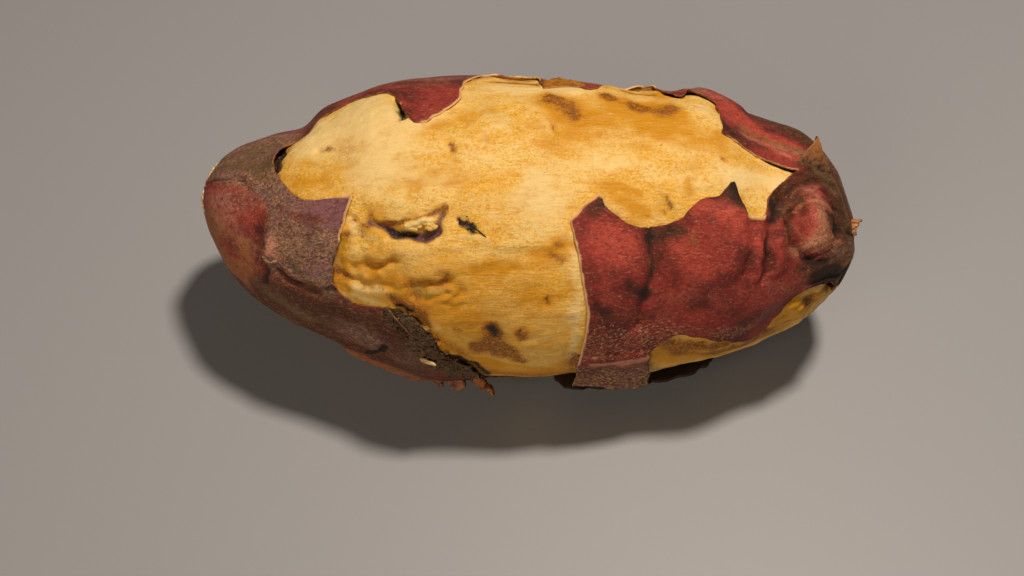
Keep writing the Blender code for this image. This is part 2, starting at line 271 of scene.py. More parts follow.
# places where the edge turns sharply
corners = ((39.5, 71), (13, 63), (7.5, 54), (9.2, -8), (23.5, -9), (-35, 63), (53.5, 81),
           (46, 56), (42.5, 56), (38.2, 114), (38.4, 92.5), (9.5, 115), (27.4, 117))
stepsPerPoint = 14
raggedSize = 2.2


def tornLine():
    # a cubic from each point to the next, whose direction at a point is that of its two
    # neighbours, or straight on at a corner; then pushed about by noise along and around
    places = [place for run, ragged in tear.values() for place in run]
    ragged = np.array([amount for run, amount in tear.values() for place in run])
    sharp = np.array([place in corners for place in places])[:, None]
    here = unrolled(places)
    onward = np.roll(here, -1, axis=0) - here
    length = np.linalg.norm(onward, axis=1, keepdims=True)
    heading = onward / length
    blended = (onward + np.roll(onward, 1, axis=0)) / (length + np.roll(length, 1, axis=0))
    leaving = np.where(sharp, heading, blended) * length
    arriving = np.roll(np.where(sharp, np.roll(heading, 1, axis=0), blended), -1, axis=0) * length
    t = (np.arange(stepsPerPoint) / stepsPerPoint)[None, :, None]
    line = cubic(t, here[:, None], leaving[:, None], np.roll(here, -1, axis=0)[:, None],
                 arriving[:, None]).reshape(-1, 2)
    amount = np.interp(np.arange(len(line)) / stepsPerPoint, np.arange(len(ragged)), ragged)
    spots = withZero(line)
    for axis, seed in ((0, 11), (1, 23)):
        line[:, axis] += amount * roughNoise(spots, raggedSize, 3, seed)
    return np.concatenate([line, line[:1]])


edgeLine = tornLine()


def fromEdge(points):
    # distance to the torn edge: positive on the skin, negative in the window, by counting
    # how often a ray along the potato crosses the edge
    nearest = nearestOnLine(points, edgeLine)
    crossings = np.zeros(len(points), dtype=int)
    for (x0, y0), (x1, y1) in zip(edgeLine[:-1], edgeLine[1:]):
        spans = (y0 > points[:, 1]) != (y1 > points[:, 1])
        meets = x0 + (points[:, 1] - y0) * (x1 - x0) / (y1 - y0 if y1 != y0 else 1)
        crossings += spans & (points[:, 0] < meets)
    return np.where(crossings % 2 == 1, -nearest, nearest)


def spread(ranges):
    # numbers in order through each (start, end, step) range
    runs = [np.linspace(start, end, max(2, round(abs(end - start) / step)), endpoint=False)
            for start, end, step in ranges]
    return np.concatenate(runs)


def tubeFaces(rings, sides):
    # triangles round a tube of rings, and a fan at both ends to the two points after them
    i, j = np.meshgrid(np.arange(rings - 1), np.arange(sides), indexing="ij")
    a, d = (i * sides + j).reshape(-1), (i * sides + (j + 1) % sides).reshape(-1)
    ring = np.arange(sides)
    onward = (ring + 1) % sides
    last = (rings - 1) * sides
    tip = np.full(sides, rings * sides)
    return np.concatenate([np.stack(corner, -1) for corner in (
        (a, a + sides, d + sides), (a, d + sides, d), (tip, ring, onward),
        (last + ring, tip + 1, last + onward))])


def roundGrid(alongRanges, aroundRanges):
    # a grid over the whole potato, closed round it and with a fan at each tip; flat points
    # and triangles that face out
    xs = spread(alongRanges)
    arounds = spread(aroundRanges)
    flat = np.stack(np.meshgrid(xs, arounds, indexing="ij"), axis=-1).reshape(-1, 2)
    tips = np.array([(stationXs[0], 0.0), (stationXs[-1], 0.0)])
    return np.concatenate([flat, tips]), tubeFaces(len(xs), len(arounds))


tooNear = 0.09  # a point nearer to the cut than this is taken to be this far off it


def keepPositive(flat, triangles, field):
    # keeps the part of each triangle where the field is above zero, with a new point
    # wherever an edge crosses zero
    field = np.where(field < 0, -1, 1) * np.maximum(np.abs(field), tooNear)
    above = field[triangles] > 0
    count = above.sum(axis=1)
    odd = (count == 1) | (count == 2)
    lone = np.where(count[odd] == 1, above[odd].argmax(axis=1), (~above[odd]).argmax(axis=1))
    pick = (lone[:, None] + np.arange(3)) % 3
    a, b, c = np.take_along_axis(triangles[odd], pick, axis=1).T
    pairs = np.sort(np.concatenate([np.stack([a, b], -1), np.stack([a, c], -1)]), axis=1)
    edges, index = np.unique(pairs, axis=0, return_inverse=True)
    index = index.reshape(-1) + len(flat)
    share = (field[edges[:, 0]] / (field[edges[:, 0]] - field[edges[:, 1]]))[:, None]
    fresh = flat[edges[:, 0]] * (1 - share) + flat[edges[:, 1]] * share
    ab, ac = index[:len(a)], index[len(a):]
    tip = count[odd] == 1
    kept = np.concatenate([
        triangles[count == 3], np.stack([a, ab, ac], -1)[tip],
        np.stack([ab, b, c], -1)[~tip], np.stack([ab, c, ac], -1)[~tip]])
    used, triangles = np.unique(kept, return_inverse=True)
    return np.concatenate([flat, fresh])[used], triangles.reshape(-1, 3)


def makeMesh(name, points, faces, masks, materials):
    # one piece of the potato, with its painted masks as a value at each point
    mesh = bpy.data.meshes.new(name)
    mesh.from_pydata(points.tolist(), [], faces.tolist())
    for mask, values in masks.items():
        layer = mesh.attributes.new(mask, "FLOAT", "POINT")
        layer.data.foreach_set("value", np.clip(values, 0, 1).astype(np.float32))
    for material in materials:
        mesh.materials.append(finishes[material])
    mesh.shade_smooth()
    mesh.validate()
    piece = bpy.data.objects.new(name, mesh)
    bpy.context.scene.collection.objects.link(piece)
    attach(piece, "root")
    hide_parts("sweet_potato")
    return piece


def giveThickness(piece, thickness):
    # a wall grown inwards, whose inside and rim use the second and third material
    wall = piece.modifiers.new("thickness", "SOLIDIFY")
    wall.thickness = thickness * mm
    wall.offset = -1
    wall.material_offset = 1
    wall.material_offset_rim = 2


def linearFrom(hexColour):
    # sRGB hex to linear light
    parts = [int(hexColour[i:i + 2], 16) / 255 for i in (1, 3, 5)]
    return [c / 12.92 if c <= 0.04045 else ((c + 0.055) / 1.055) ** 2.4 for c in parts] + [1.0]


def addNode(tree, kind, settings=None, values=None, links=None):
    # settings of the node itself, then values and links of its sockets
    node = tree.nodes.new(kind)
    for name, value in (settings or {}).items():
        setattr(node, name, value)
    for socket, value in (values or {}).items():
        node.inputs[socket].default_value = value
    for socket, source in (links or {}).items():
        tree.links.new(source, node.inputs[socket])
    return node


def grain(tree, place, size, detail, roughness=0.55, distortion=0.0):
    # noise whose blobs are size mm along X, Y and Z
    stretch = addNode(tree, "ShaderNodeMapping", {}, {"Scale": [1 / (s * mm) for s in size]},
                      {"Vector": place})
    noise = addNode(tree, "ShaderNodeTexNoise", {},
                    {"Scale": 1.0, "Detail": detail, "Roughness": roughness,
                     "Distortion": distortion}, {"Vector": stretch.outputs[0]})
    return noise.outputs["Fac"]


def layerStrength(tree, pattern, low, high, top=1.0, mask=None, spread=1.0):
    # rises smoothly from 0 to top as its pattern goes from low to high; with a painted mask,
    # the pattern only breaks up the mask's border
    if mask:
        painted = addNode(tree, "ShaderNodeAttribute", {"attribute_name": mask})
        centred = addNode(tree, "ShaderNodeMath", {"operation": "SUBTRACT"}, {1: 0.5}, {0: pattern})
        pattern = addNode(tree, "ShaderNodeMath", {"operation": "MULTIPLY_ADD"}, {1: spread},
                          {0: centred.outputs[0], 2: painted.outputs["Fac"]}).outputs[0]
    return addNode(tree, "ShaderNodeMapRange", {"interpolation_type": "SMOOTHSTEP"},
                   {"From Min": low, "From Max": high, "To Max": top},
                   {"Value": pattern}).outputs[0]


def layered(tree, own, patterns, name):
    # one of the material's colours, or a mixture: its ground with each layer laid over it
    if name in own["colours"]:
        return linearFrom(own["colours"][name])
    ground, *layers = own["mixtures"][name]
    under = linearFrom(own["colours"][ground])
    for over, pattern, *strength in layers:
        values = {}
        links = {0: layerStrength(tree, patterns[pattern], *strength)}
        for socket, colour in ((6, under), (7, layered(tree, own, patterns, over))):
            (values if isinstance(colour, list) else links)[socket] = colour
        under = addNode(tree, "ShaderNodeMix", {"data_type": "RGBA"}, values, links).outputs[2]
    return under


def makeMaterial(name, own):
    # patterns of noise on Object coordinates, then the colour, roughness and bump that they give
    material = bpy.data.materials.new(name)
    material.use_nodes = True
    tree = material.node_tree
    shader = tree.nodes["Principled BSDF"]
    place = addNode(tree, "ShaderNodeTexCoord").outputs["Object"]
    patterns = {key: grain(tree, place, *setting) for key, setting in own["patterns"].items()}
    tree.links.new(layered(tree, own, patterns, "surface"), shader.inputs["Base Color"])
    if "roughness" in own:
        pattern, low, high = own["roughness"]
        rough = addNode(tree, "ShaderNodeMapRange", {}, {"To Min": low, "To Max": high},
                        {"Value": patterns[pattern]})
        if "wet" in own:
            pattern, change, *strength = own["wet"]
            rough = addNode(tree, "ShaderNodeMath", {"operation": "MULTIPLY_ADD"}, {1: change},
                            {0: layerStrength(tree, patterns[pattern], *strength),
                             2: rough.outputs[0]})
        tree.links.new(rough.outputs[0], shader.inputs["Roughness"])
    (pattern, share), *others = own["relief"]
    height = patterns[pattern]
    for pattern, share in others:
        height = addNode(tree, "ShaderNodeMath", {"operation": "MULTIPLY_ADD"}, {1: share},
                         {0: patterns[pattern], 2: height}).outputs[0]
    strength, depth = own["bump"]
    bump = addNode(tree, "ShaderNodeBump", {}, {"Strength": strength, "Distance": depth * mm},
                   {"Height": height})
    tree.links.new(bump.outputs[0], shader.inputs["Normal"])
    for socket, value in own["shader"].items():
        shader.inputs[socket].default_value = value
    return material


# sweet potato skin, roasted dry: thin papery periderm over red cortex. It reads as satin
# crimson where it is clean, and scaly brown where it has dried and rubbed. Its scales are
# drawn at 0.4 mm, twice their real size, so that they show
skinFinish = {
    "colours": {
        "deep": "#5e1f1a", "crimson": "#9f382e", "bright": "#bd4a3b", "purple": "#8c5c62",
        "dustDark": "#583d2e", "dustLight": "#b48d6e", "ochre": "#9c5f38", "char": "#2a1812",
        "umber": "#4c2a15", "streak": "#69432a", "crustDark": "#2c1c12", "crustLight": "#8c6c44",
        "fleck": "#d2a077", "rim": "#dcae78", "pink": "#d08b74", "ash": "#6e565a",
        "olive": "#6a5436"},
    # size along X, Y and Z, detail, roughness and distortion
    "patterns": {
        "blotch": ((9.0, 9.0, 9.0), 4), "soft": ((3.2, 2.0, 2.0), 4),
        "patch": ((1.8, 1.2, 1.2), 3, 0.65), "scales": ((0.85, 0.38, 0.38), 4, 0.85, 0.6),
        "wrinkle": ((2.2, 0.9, 0.9), 4, 0.6, 0.5), "streaks": ((7.0, 0.5, 0.5), 3, 0.6, 0.3),
        "broad": ((5.0, 3.4, 3.4), 3)},
    # ground, then layers: colour or mixture, pattern, the values between which the layer
    # rises, its strength, and the painted mask that the pattern breaks up, and how far
    "mixtures": {
        "dried": ("umber", ("streak", "streaks", 0.5, 0.62)),
        "dusty": (
            "dustDark", ("dustLight", "scales", 0.36, 0.64), ("ash", "soft", 0.5, 0.62, 0.6),
            ("crimson", "soft", 0.46, 0.36, 0.35), ("umber", "patch", 0.48, 0.32, 0.6),
            ("purple", "broad", 0.52, 0.62, 0.45), ("olive", "broad", 0.46, 0.38, 0.5)),
        "crusty": ("crustDark", ("crustLight", "scales", 0.42, 0.66)),
        "surface": (
            "deep", ("crimson", "blotch", 0.35, 0.6),
            ("bright", "soft", 0.25, 0.95, 1.0, "bright", 0.6),
            ("purple", "soft", 0.3, 0.95, 1.0, "purple", 0.7),
            ("deep", "wrinkle", 0.48, 0.34, 0.4),
            ("dried", "soft", 0.1, 0.9, 1.0, "umber", 0.9),
            ("ochre", "soft", 0.3, 0.9, 1.0, "ochre", 1.1),
            ("dusty", "blotch", 0.1, 1.0, 1.0, "dust", 1.0),
            ("olive", "patch", 0.2, 1.0, 1.0, "olive", 0.9),
            ("pink", "patch", 0.1, 1.1, 1.0, "pink", 0.6),
            ("deep", "patch", 0.48, 0.34, 0.4), ("deep", "scales", 0.49, 0.36, 0.7),
            ("fleck", "scales", 0.54, 0.7, 0.55),
            ("fleck", "scales", 0.9, 1.6, 1.0, "net", 3.8),
            ("char", "soft", 0.2, 1.0, 1.0, "char", 0.8),
            ("crusty", "soft", 0.1, 0.8, 1.0, "crustAndShade", 0.8),
            ("rim", "scales", 0.2, 0.7, 1.0, "rim", 0.6))},
    "roughness": ("scales", 0.52, 0.85),
    "relief": (("scales", 1.0), ("wrinkle", 0.6)),  # patterns and their shares of the bump
    "bump": (0.9, 0.24),  # strength and depth
    "shader": {"Specular IOR Level": 0.3},
}
# baked sweet potato flesh: soft, moist and starchy, torn along its fibres. Light goes a
# little way in, and the sugary film on it glints. Its grains are drawn at 0.5 mm, coarser
# than real ones, so that they show
fleshFinish = {
    "colours": {
        "pale": "#f5cd70", "gold": "#efb840", "amber": "#d6940f", "cream": "#f6d68e",
        "toast": "#aa620d", "brown": "#4a2406", "purple": "#5f3a3c", "green": "#a39a50",
        "shadeAndDarkSpots": "#1d100a"},
    "patterns": {
        "cloud": ((9.0, 6.0, 6.0), 4), "strand": ((3.6, 0.5, 0.6), 5, 0.65, 0.8),
        "clump": ((2.0, 1.5, 1.5), 4, 0.62, 0.5), "fine": ((0.55, 0.42, 0.42), 4, 0.8),
        "speck": ((1.5, 0.9, 0.9), 1)},
    "mixtures": {
        "surface": (
            "gold", ("pale", "cloud", 0.4, 0.6), ("amber", "strand", 0.5, 0.68, 0.6),
            ("cream", "clump", 0.51, 0.66, 0.6), ("amber", "clump", 0.46, 0.32, 0.65),
            ("amber", "fine", 0.5, 0.36, 0.8), ("cream", "fine", 0.51, 0.63, 0.8),
            ("cream", "clump", 0.2, 0.9, 1.0, "pale", 0.6),
            ("amber", "clump", 0.1, 0.9, 1.0, "amber", 1.0),
            ("green", "clump", 0.25, 1.0, 1.0, "green", 0.8),
            ("toast", "fine", 0.15, 1.3, 1.0, "brown", 2.6),
            ("brown", "fine", 0.55, 1.6, 1.0, "brown", 3.4),
            ("purple", "clump", 0.2, 0.9, 1.0, "purple", 0.8),
            # near black over the painted shade in gaps and hollows, and over the dark spots
            ("shadeAndDarkSpots", "clump", 0.3, 1.0, 1.0, "shadeAndDarkSpots", 1.0),
            # the second here lays pale cream flecks over everything: painted glints of the moist
            # film
            ("toast", "fine", 0.42, 0.3, 0.2), ("cream", "fine", 0.57, 0.7, 0.5),
            ("toast", "speck", 0.7, 0.8, 0.3))},
    "roughness": ("clump", 0.45, 0.68),
    "wet": ("clump", -0.3, 0.2, 0.9, 1.0, "wet", 1.0),  # what the film changes in it, and where
    "relief": (("strand", 1.0), ("fine", 0.5), ("clump", 0.8)),
    "bump": (0.9, 0.26),
    "shader": {"Subsurface Weight": 0.12, "Subsurface Scale": 1.2 * mm,
               "Subsurface Radius": (1.0, 0.5, 0.2), "Specular IOR Level": 0.35},
}
# torn, dried or charred plant tissue: two tones mottled at 1 mm, matt, with a third tone
# where the piece is painted pale
rinds = {
    # name, light tone, dark tone, tone where it is painted pale, roughness
    "edge": ("torn edge of the skin", "#9a6038", "#5a3020", "#f0c88c", 0.6),
    "inner": ("inside of the skin", "#ae721a", "#865012", "#e2b060", 0.5),
    "shaded": ("shaded inside of the skin", "#1a0e0a", "#0b0605", "#8a5a34", 0.75),
    "char": ("charred flakes", "#68492c", "#352114", "#a86c38", 0.75),
    "orange": ("torn orange flakes", "#b0682c", "#6e3a18", "#dca868", 0.6),
    "scar": ("dry stem scar", "#ecd4a4", "#b08a52", "#f4e4c0", 0.75),
}
rindFinish = {
    "patterns": {"mottle": ((1.6, 0.8, 0.8), 4, 0.65)},
    "mixtures": {
        "surface": ("dark", ("light", "mottle", 0.36, 0.6),
                    ("pale", "mottle", 0.2, 0.9, 1.0, "pale", 0.8),
                    # near black where that mask is painted, which on the under lip is painted shade
                    ("burnt", "mottle", 0.2, 0.7, 1.0, "crustAndShade", 0.4))},
    "relief": (("mottle", 1.0),),
    "bump": (0.8, 0.2),
}
finishes = {"skin": makeMaterial("roasted sweet potato skin", skinFinish),
            "flesh": makeMaterial("baked sweet potato flesh", fleshFinish)}
for key, (name, light, dark, pale, roughness) in rinds.items():
    colours = {"light": light, "dark": dark, "pale": pale, "burnt": "#24160f"}
    finishes[key] = makeMaterial(name, {**rindFinish, "colours": colours,
                                        "shader": {"Roughness": roughness}})
print("materials made")

flesh = {
    "alongRanges": ((-70.2, -60, 1.2), (-60, -54, 0.8), (-54, 66, 0.46), (66, 68.9, 0.6)),
    "aroundRanges": ((-100, -60, 1.4), (-60, -26, 0.6), (-26, 80, 0.42), (80, 101.06, 2.2)),
    "height": 0.2,
    "underSkin": (0.75, 1.6),  # how far, near the torn edge and further in
    "covered": (0.25, 1.5),  # where that begins, from the edge, and over how much of it
    "deeper": (2.5, 3.0),
    # size, octaves, seed and stretch of noise, and how high it stands
    "lumps": ((4.5, 3, 31, 1.7), 0.22),
    "fibres": ((1.2, 2, 41, 7), 0.08),
    "tears": ((2.2, 2, 45, 1.5), 0.14),
    "crumbs": ((1.2, 2, 49, 1.4), 0.7),
    "wander": (0.55, 3.0, 81),  # how far, size and seed
    # how much a mask takes from lumps and from dips, and the most it can take
    "tints": {"pale": (0.5, 0.5, 0.4), "amber": (-0.6, -0.5, 0.6)},
    # how much a mask takes from the tops or the hollows of crumbs, and where it starts; the brown in
    # the hollows is partly painted shade between the crumbs
    "crumbTints": {"pale": (0.5, 1, 0.0), "brown": (1.1, -1, 0.1)},
    # patches torn to crumbs: line, half width, strength
    "crumbly": (
        (-36.5, 55, -35, 51, -33.2, 48, 2.0, 1.0), (-32, 55.5, -28, 53, 1.0, 0.8),
        (-24, 50.5, -19, 53, 1.2, 0.6), (-37, 32, -30, 32, -27, 38, 2.0, 0.5),
        (-36, 41, -30, 43, 1.8, 0.5), (-23, 28, -15, 30, 2.4, 0.8), (5, 104, 9, 96, 2.6, 0.5),
        (18, 104, 28, 102, 2.6, 0.5), (-27, 21, -22, 17, -17, 3, 1.4, 0.8),
        (27, 0, 40, -8, 48, -12, 3.0, 0.5), (47, -8, 52, -2, 58, 2, 3.0, 0.7)),
    # line, how far it fades to the left, height
    "ledges": (
        (-32.5, 57, -30.2, 54.5, -26.1, 53, -24.2, 54.8, -20.1, 56.4, 2.4, 0.35),
        (-18.0, 51, -20.6, 47.4, -23.6, 46.6, -27.5, 48.5, 2.0, 0.3),
        (-39.5, 29.5, -35.7, 30, -31.9, 29.6, -27.9, 28.6, 2.0, 0.3),
        (-33.5, 36.5, -31, 37, -29, 38.5, -26.5, 40.5, 1.8, 0.5),
        (-23.6, 31, -20.9, 33.3, -17.9, 34.5, -14, 35, 2.4, 0.5),
        (-12, -0.5, -6, -3.5, 2, -7, 8, -9.5, 2.0, 0.4), (-9, 84, -3, 82.5, 4, 83, 1.6, 0.25),
        (-30, 69, -20, 67, -8, 67.5, 2.0, 0.2), (-8, 46, 0, 43, 5, 44.5, 2.0, 0.25),
        (12, 88, 22, 87, 34, 86.5, 2.0, 0.2)),
    # line, half width, height
    "relief": (
        (-53.4, 86, -52.6, 99, 1.5, -1.6), (-27, 106, -25.6, 96, 1.2, -1.3),
        (-11, 124, -6, 131, 1, 128, 1.6, 0.5), (16, 118, 23, 127, 28, 120, 1.6, 0.5),
        (49.5, 87, 53.5, 83, 1.5, -0.9), (62.4, 8, 64.5, -4, 1.6, -1.0),
        (-28.5, 51, -25, 49.4, -21.5, 48.6, -18.4, 50.4, 1.2, -1.3),
        (-31.8, 54, -26, 53.4, -17.5, 56, 1.1, -0.4), (-31, 60.5, -24, 62, -16, 62, 1.8, 0.35),
        (-23.9, 52, -22.5, 52.6, 0.75, 1.1), (-21.2, 53.6, -19.3, 53.3, 0.8, 1.2),
        (-29, 45, -23, 43.5, -16, 47, 2.0, 0.35), (-32.7, 36, -29.5, 37.5, -27.4, 39.5, 1.1, -0.9),
        (-36, 41, -30, 43, 2.2, 0.45), (-39, 30, -33, 29, -28, 29, 1.0, -0.5),
        (-23.3, 31, -20.9, 32.5, -16, 33.5, 1.5, -0.9), (-38.5, 44, -39, 34, 1.4, -0.6),
        (-36, 25.5, -29, 26.5, 1.4, 0.5), (-34, 45, -28, 46, 1.0, -0.4),
        (-12, 53, -11.5, 52, 0.9, -0.9), (-14.2, 54, -13.8, 53, 0.7, -0.5),
        (-12, -1, -2, -6, 8, -10, 0.8, -0.45), (4.4, 92, 4.8, 88, 0.6, -0.6),
        (-16.4, 82, -15.6, 79, 0.7, -0.7), (-43, 87, -42.8, 86, 0.7, -0.5),
        (3.3, 24.5, 3.5, 23.5, 0.6, -0.6), (25.6, 61, 26.4, 58, 0.8, -0.5),
        (38.2, 80, 38.8, 79.5, 0.6, -0.6), (-26, 21, -22, 18, 1.2, -0.5), (57, 7, 58, 2, 1.2, -0.5),
        (54, 6, 56.6, -14, 1.8, 0.7), (60.4, 4, 62.6, -6, 1.0, 0.7),
        (57.4, -26, 58.2, -22, 1.0, 0.7), (30, -2, 38, -8, 1.6, 0.5)),
    # line, half width, strength
    "masks": {
        "amber": (
            (-52, 78, -45, 70, 2.6, 0.55), (-49, 88, -45, 80, 2.0, 0.3),
            (4, 86, 20, 88, 36, 86, 4.0, 0.3), (19, 101, 28, 100, 3.2, 0.8),
            (31, 83.5, 33, 82, 2.4, 0.4), (3, 79, 5, 76, 3.0, 0.3),
            # these two are painted shade under the curled top edge of the skin
            (-8, 121, -3, 122, 1, 119, 1.2, 1.1), (20, 118, 27, 116.5, 1.3, 1.2),
            (8, 96, 20, 98, 31, 96, 4.0, 0.35), (16.4, 62, 19.2, 59.5, 22, 57.4, 1.5, 0.6),
            (19, 70, 27, 66, 3.4, -0.7), (14.6, 66, 17.6, 66.5, 21, 64, 0.8, 0.8),
            (30.8, 69, 31.2, 64.6, 1.2, 0.8), (-33, 33, -22, 28, 4.0, 0.7),
            (-30, 42, -16, 40, 3.6, 0.35), (-18, 22, -10, 14, 4.0, 0.45),
            (-10, 34, 2, 30, 5.0, 0.45), (-19, 8, -15, 3, 2.4, 0.8), (3, 42, 6, 46, 2.6, 0.7),
            # the first here is painted shade along the skin's raised left edge
            (-38, 48, -39.4, 40, -39.6, 30, -38, 24, 1.8, 1.2), (-14, 60, 0, 62, 3.0, 0.3),
            (-20, 90, -12, 96, 3.0, 0.4), (40, 84, 50, 78, 3.0, 0.25), (-10, -6, 8, -10, 4.0, 0.6),
            (-10, -14, 8, -18, 3.0, 0.5), (25, -6, 40, -14, 50, -10, 6.0, 1.0),
            (54, 6, 60, -2, 4.0, 1.3), (49, -14, 54, -20, 2.0, 0.8), (-12, 20, 6, 18, 6.0, 0.4),
            (3, 105, 7, 101, 11, 94, 3.4, 0.8), (15, 108, 17, 107, 2.4, 0.8)),
        "brown": (
            (-33, 36, -29.5, 37.5, -27.4, 39.5, 0.9, 0.7), (-39.7, 31, -37.4, 29.8, 1.3, 1.1),
            (-39.3, 27, -38.4, 25, 1.2, 0.4), (-23, 26, -15.5, 27.5, 2.2, 0.3),
            # the first here deepens the painted shade along the skin's raised left edge
            (-38.9, 46, -39.5, 33, 0.9, 0.5), (38, -14, 45, -19, 51, -20, 1.8, 0.9),
            (45, -8, 50, -12, 1.4, 0.6), (-35, 30, -28, 29.3, 0.5, 0.45),
            (-24.5, 31, -20.9, 32.5, -17, 34, 1.6, 0.7), (-17, 36, -11, 38, 1.6, 0.35),
            (-32, 55.5, -30.6, 54.6, -28.4, 53.6, 0.8, 0.7),
            (-28.4, 53.6, -24.4, 54.3, -21.2, 54.6, -19.6, 55.8, -16.4, 58.3, 0.5, 0.9),
            (-28, 53.4, -26, 52.8, -24.6, 54.2, 0.6, 0.5), (-18.8, 57, -16.5, 58, 0.8, 0.5),
            (-17.2, 56.5, -18.6, 51.5, 0.9, 0.5), (-27, 46.6, -24, 45.2, -20, 46.6, 0.5, 0.35),
            (-33.5, 50, -31, 50, 1.6, 0.4), (-33.6, 52.5, -32.4, 51.5, 0.9, 0.6),
            (-38.6, 47.5, -36.5, 48, 1.0, 0.9), (-7.6, 15, -7.2, 13, 1.9, 1.7),
            (-8.4, 8, -6, 5.6, 2.4, 1.2), (-4.9, 5, -4.0, 4, 1.8, 0.8),
            (-2.2, 13.5, -1.8, 12.5, 1.3, 1.5), (-11.7, 6.5, -11, 5.5, 1.2, 0.75),
            (-2.6, 0, -1.8, -1, 1.2, 0.8), (-11, 3, 0, 2, 2.6, 0.45), (2, 12, 8, -4, 3.0, 0.4),
            (8.4, 0, 8.8, -12, 1.0, 0.7), (-10, -13, 8, -18, 3.0, 0.8),
            (3.6, 105, 6.4, 102.5, 8.6, 98, 2.0, 0.9), (3.8, 105.4, 5.6, 103.4, 1.0, 0.6),
            # the second here and both on the next line are painted shade under the curled top edge
            (6.9, 97, 11, 94, 2.6, 0.4), (-7, 121, -3, 121.5, 1, 118, 0.9, 1.0),
            (21, 117.5, 26, 116.5, 0.9, 0.9), (15, 115.5, 20, 117.5, 0.7, 0.5),
            (15.2, 108.5, 16.6, 107, 1.5, 1.4), (20.4, 104, 22, 103.5, 1.6, 1.0),
            (22, 102, 27.5, 101, 2.2, 0.9), (28, 103.5, 29.4, 104.5, 1.6, 0.6),
            (-9, 99.5, -7.4, 96, 1.4, 0.45), (-9.6, 85, -8.8, 81, 0.7, 0.5),
            (-14, 93, -12, 92, 0.6, 0.5), (4.4, 91, 4.6, 88.5, 0.45, 0.9),
            (-16, 81.6, -15.5, 79, 0.8, 1.2), (-16, 76, -15, 75, 1.0, 0.4),
            (-41, 86.6, -40.4, 85.6, 1.2, 1.0), (-37.4, 84, -35, 83, 1.8, 0.5),
            (-36, 79, -34.5, 77, 1.2, 0.35), (4.6, 45.5, 6, 45.7, 0.9, 0.9),
            (3.6, 41.5, 5.8, 40.4, 1.2, 0.85), (3.3, 24.5, 3.5, 23.5, 0.6, 0.9),
            (6.6, 36, 7.4, 32, 0.8, 0.35), (30.6, 65, 31.4, 63, 1.2, 0.4),
            (38.2, 80, 38.8, 79.5, 0.6, 0.8), (26.8, 62.5, 27.2, 59.7, 0.7, 1.0),
            (25.9, 58, 26.1, 57.2, 0.6, 0.9), (-15, 15, -14, 14, 0.8, 0.9),
            (-22, 20, -18, 9, -14, 1, 1.4, 0.7), (-44, 79, -42, 77, 0.9, 0.5),
            (57.2, 7, 57.8, 1, 1.4, 1.6), (59.6, -3, 58.2, -15, 1.2, 0.6),
            # the second here and both on the next line are painted shade under the curled top edge
            (46, -16, 52, -13, 58.5, -9, 1.4, 0.8), (-12, 124, -6.5, 131, 0, 126, 1.6, 0.7),
            (4, 120, 9, 124, 11, 118, 2.2, 0.8), (16, 120, 23.5, 127, 27, 122, 1.8, 0.7),
            (26, 2, 31, -1, 38, -5, 2.0, 0.95), (38.6, -4, 40.4, -6, 1.0, 1.2),
            (25, -6, 30, -4, 2.4, 0.5), (30, -8, 42, -16, 2.0, 0.75), (-7, 92, -5, 90, 1.0, 0.3),
            (-2, 104, 2, 102, 2.6, 0.3), (-27.5, 24.5, -24, 22.5, -21, 20, 1.5, 1.0)),
        "purple": (
            (-28, 50.6, -25.6, 49.2, -23.2, 48.5, -20.8, 48.5, -18.4, 50.6, 1.0, 1.2),
            (-31.8, 53.4, -29.6, 52.5, 1.1, 0.8), (-18.2, 53, -17.4, 56, 0.8, 0.7),
            (-17.4, 28, -14, 30, 1.4, 0.3), (-35, 27.4, -29, 27.6, 1.1, 0.42),
            (-20, 46.5, -18, 50, 0.8, 0.4)),
        "pale": (
            (-35.4, 26.6, -29, 26.6, 1.3, 0.55), (-36.4, 54, -34.4, 50, 1.4, 0.6),
            (-23.8, 52.2, -19.4, 53.3, 0.8, 1.1), (-36.5, 21.5, -31, 21.5, 1.2, 0.6),
            (-36, 35, -34, 34.5, 1.2, 0.6), (7.4, 46, 9.0, 30, 9.2, 18, 7.8, -2, 1.3, 0.7),
            (-44, 104, -31, 112, 3.4, 0.5), (-48, 96, -40, 88, -30, 80, 7.0, 0.6),
            (-34, 70, -16, 68, 4.0, 0.5), (-36, 104, -20, 96, 5.0, 0.6),
            (-4, 104, 12, 90, 30, 92, 6.0, 0.2), (10, 74, 30, 76, 44, 72, 6.0, 0.25),
            (-4, 112, 20, 110, 34, 108, 3.0, 0.5), (-8, 74, 6, 66, 5.0, 0.15),
            (-6, 20, 2, 34, 3.0, 0.2), (59.5, 8, 61.5, 2, 1.3, 0.9), (47, -5, 51, -3, 1.2, 0.7),
            (40, 74, 50, 74, 2.6, 0.5), (-20, 106, -10, 112, 3.4, 0.4),
            (-38, 96, -26, 84, 5.0, 0.35), (0, 62, 6, 56, 4.0, 0.5)),
        "green": (
            (-23, 29, -20.3, 28.4, 1.5, 0.7), (-18.4, 31, -16.8, 30.4, 1.1, 0.7),
            # the first here is painted shade in the hollow beside the tooth of skin
            (-27, 104, -25.2, 97, 1.6, 0.9), (-52, 92, -49, 98, -44, 100, 2.4, 0.55),
            (-12, 48, -13, 57, 2.0, 0.45), (26, 63, 28, 58, 1.8, 0.5),
            # the first here is painted shade along the skin's raised left edge
            (-38.6, 47, -39.4, 38, -39.4, 32, 1.2, 0.8), (8, -2, 8.6, -12, 1.6, 0.5),
            (-16, 88, -14, 86, 1.2, 0.4), (8.4, 26, 8.6, 10, 1.2, 0.4),
            (-10, -12, 6, -16, 3.4, 0.3), (58, 12, 61, 9, 1.4, 0.4)),
        # near black: painted shade in the gaps against the skin's edge, in the slit and in hollows,
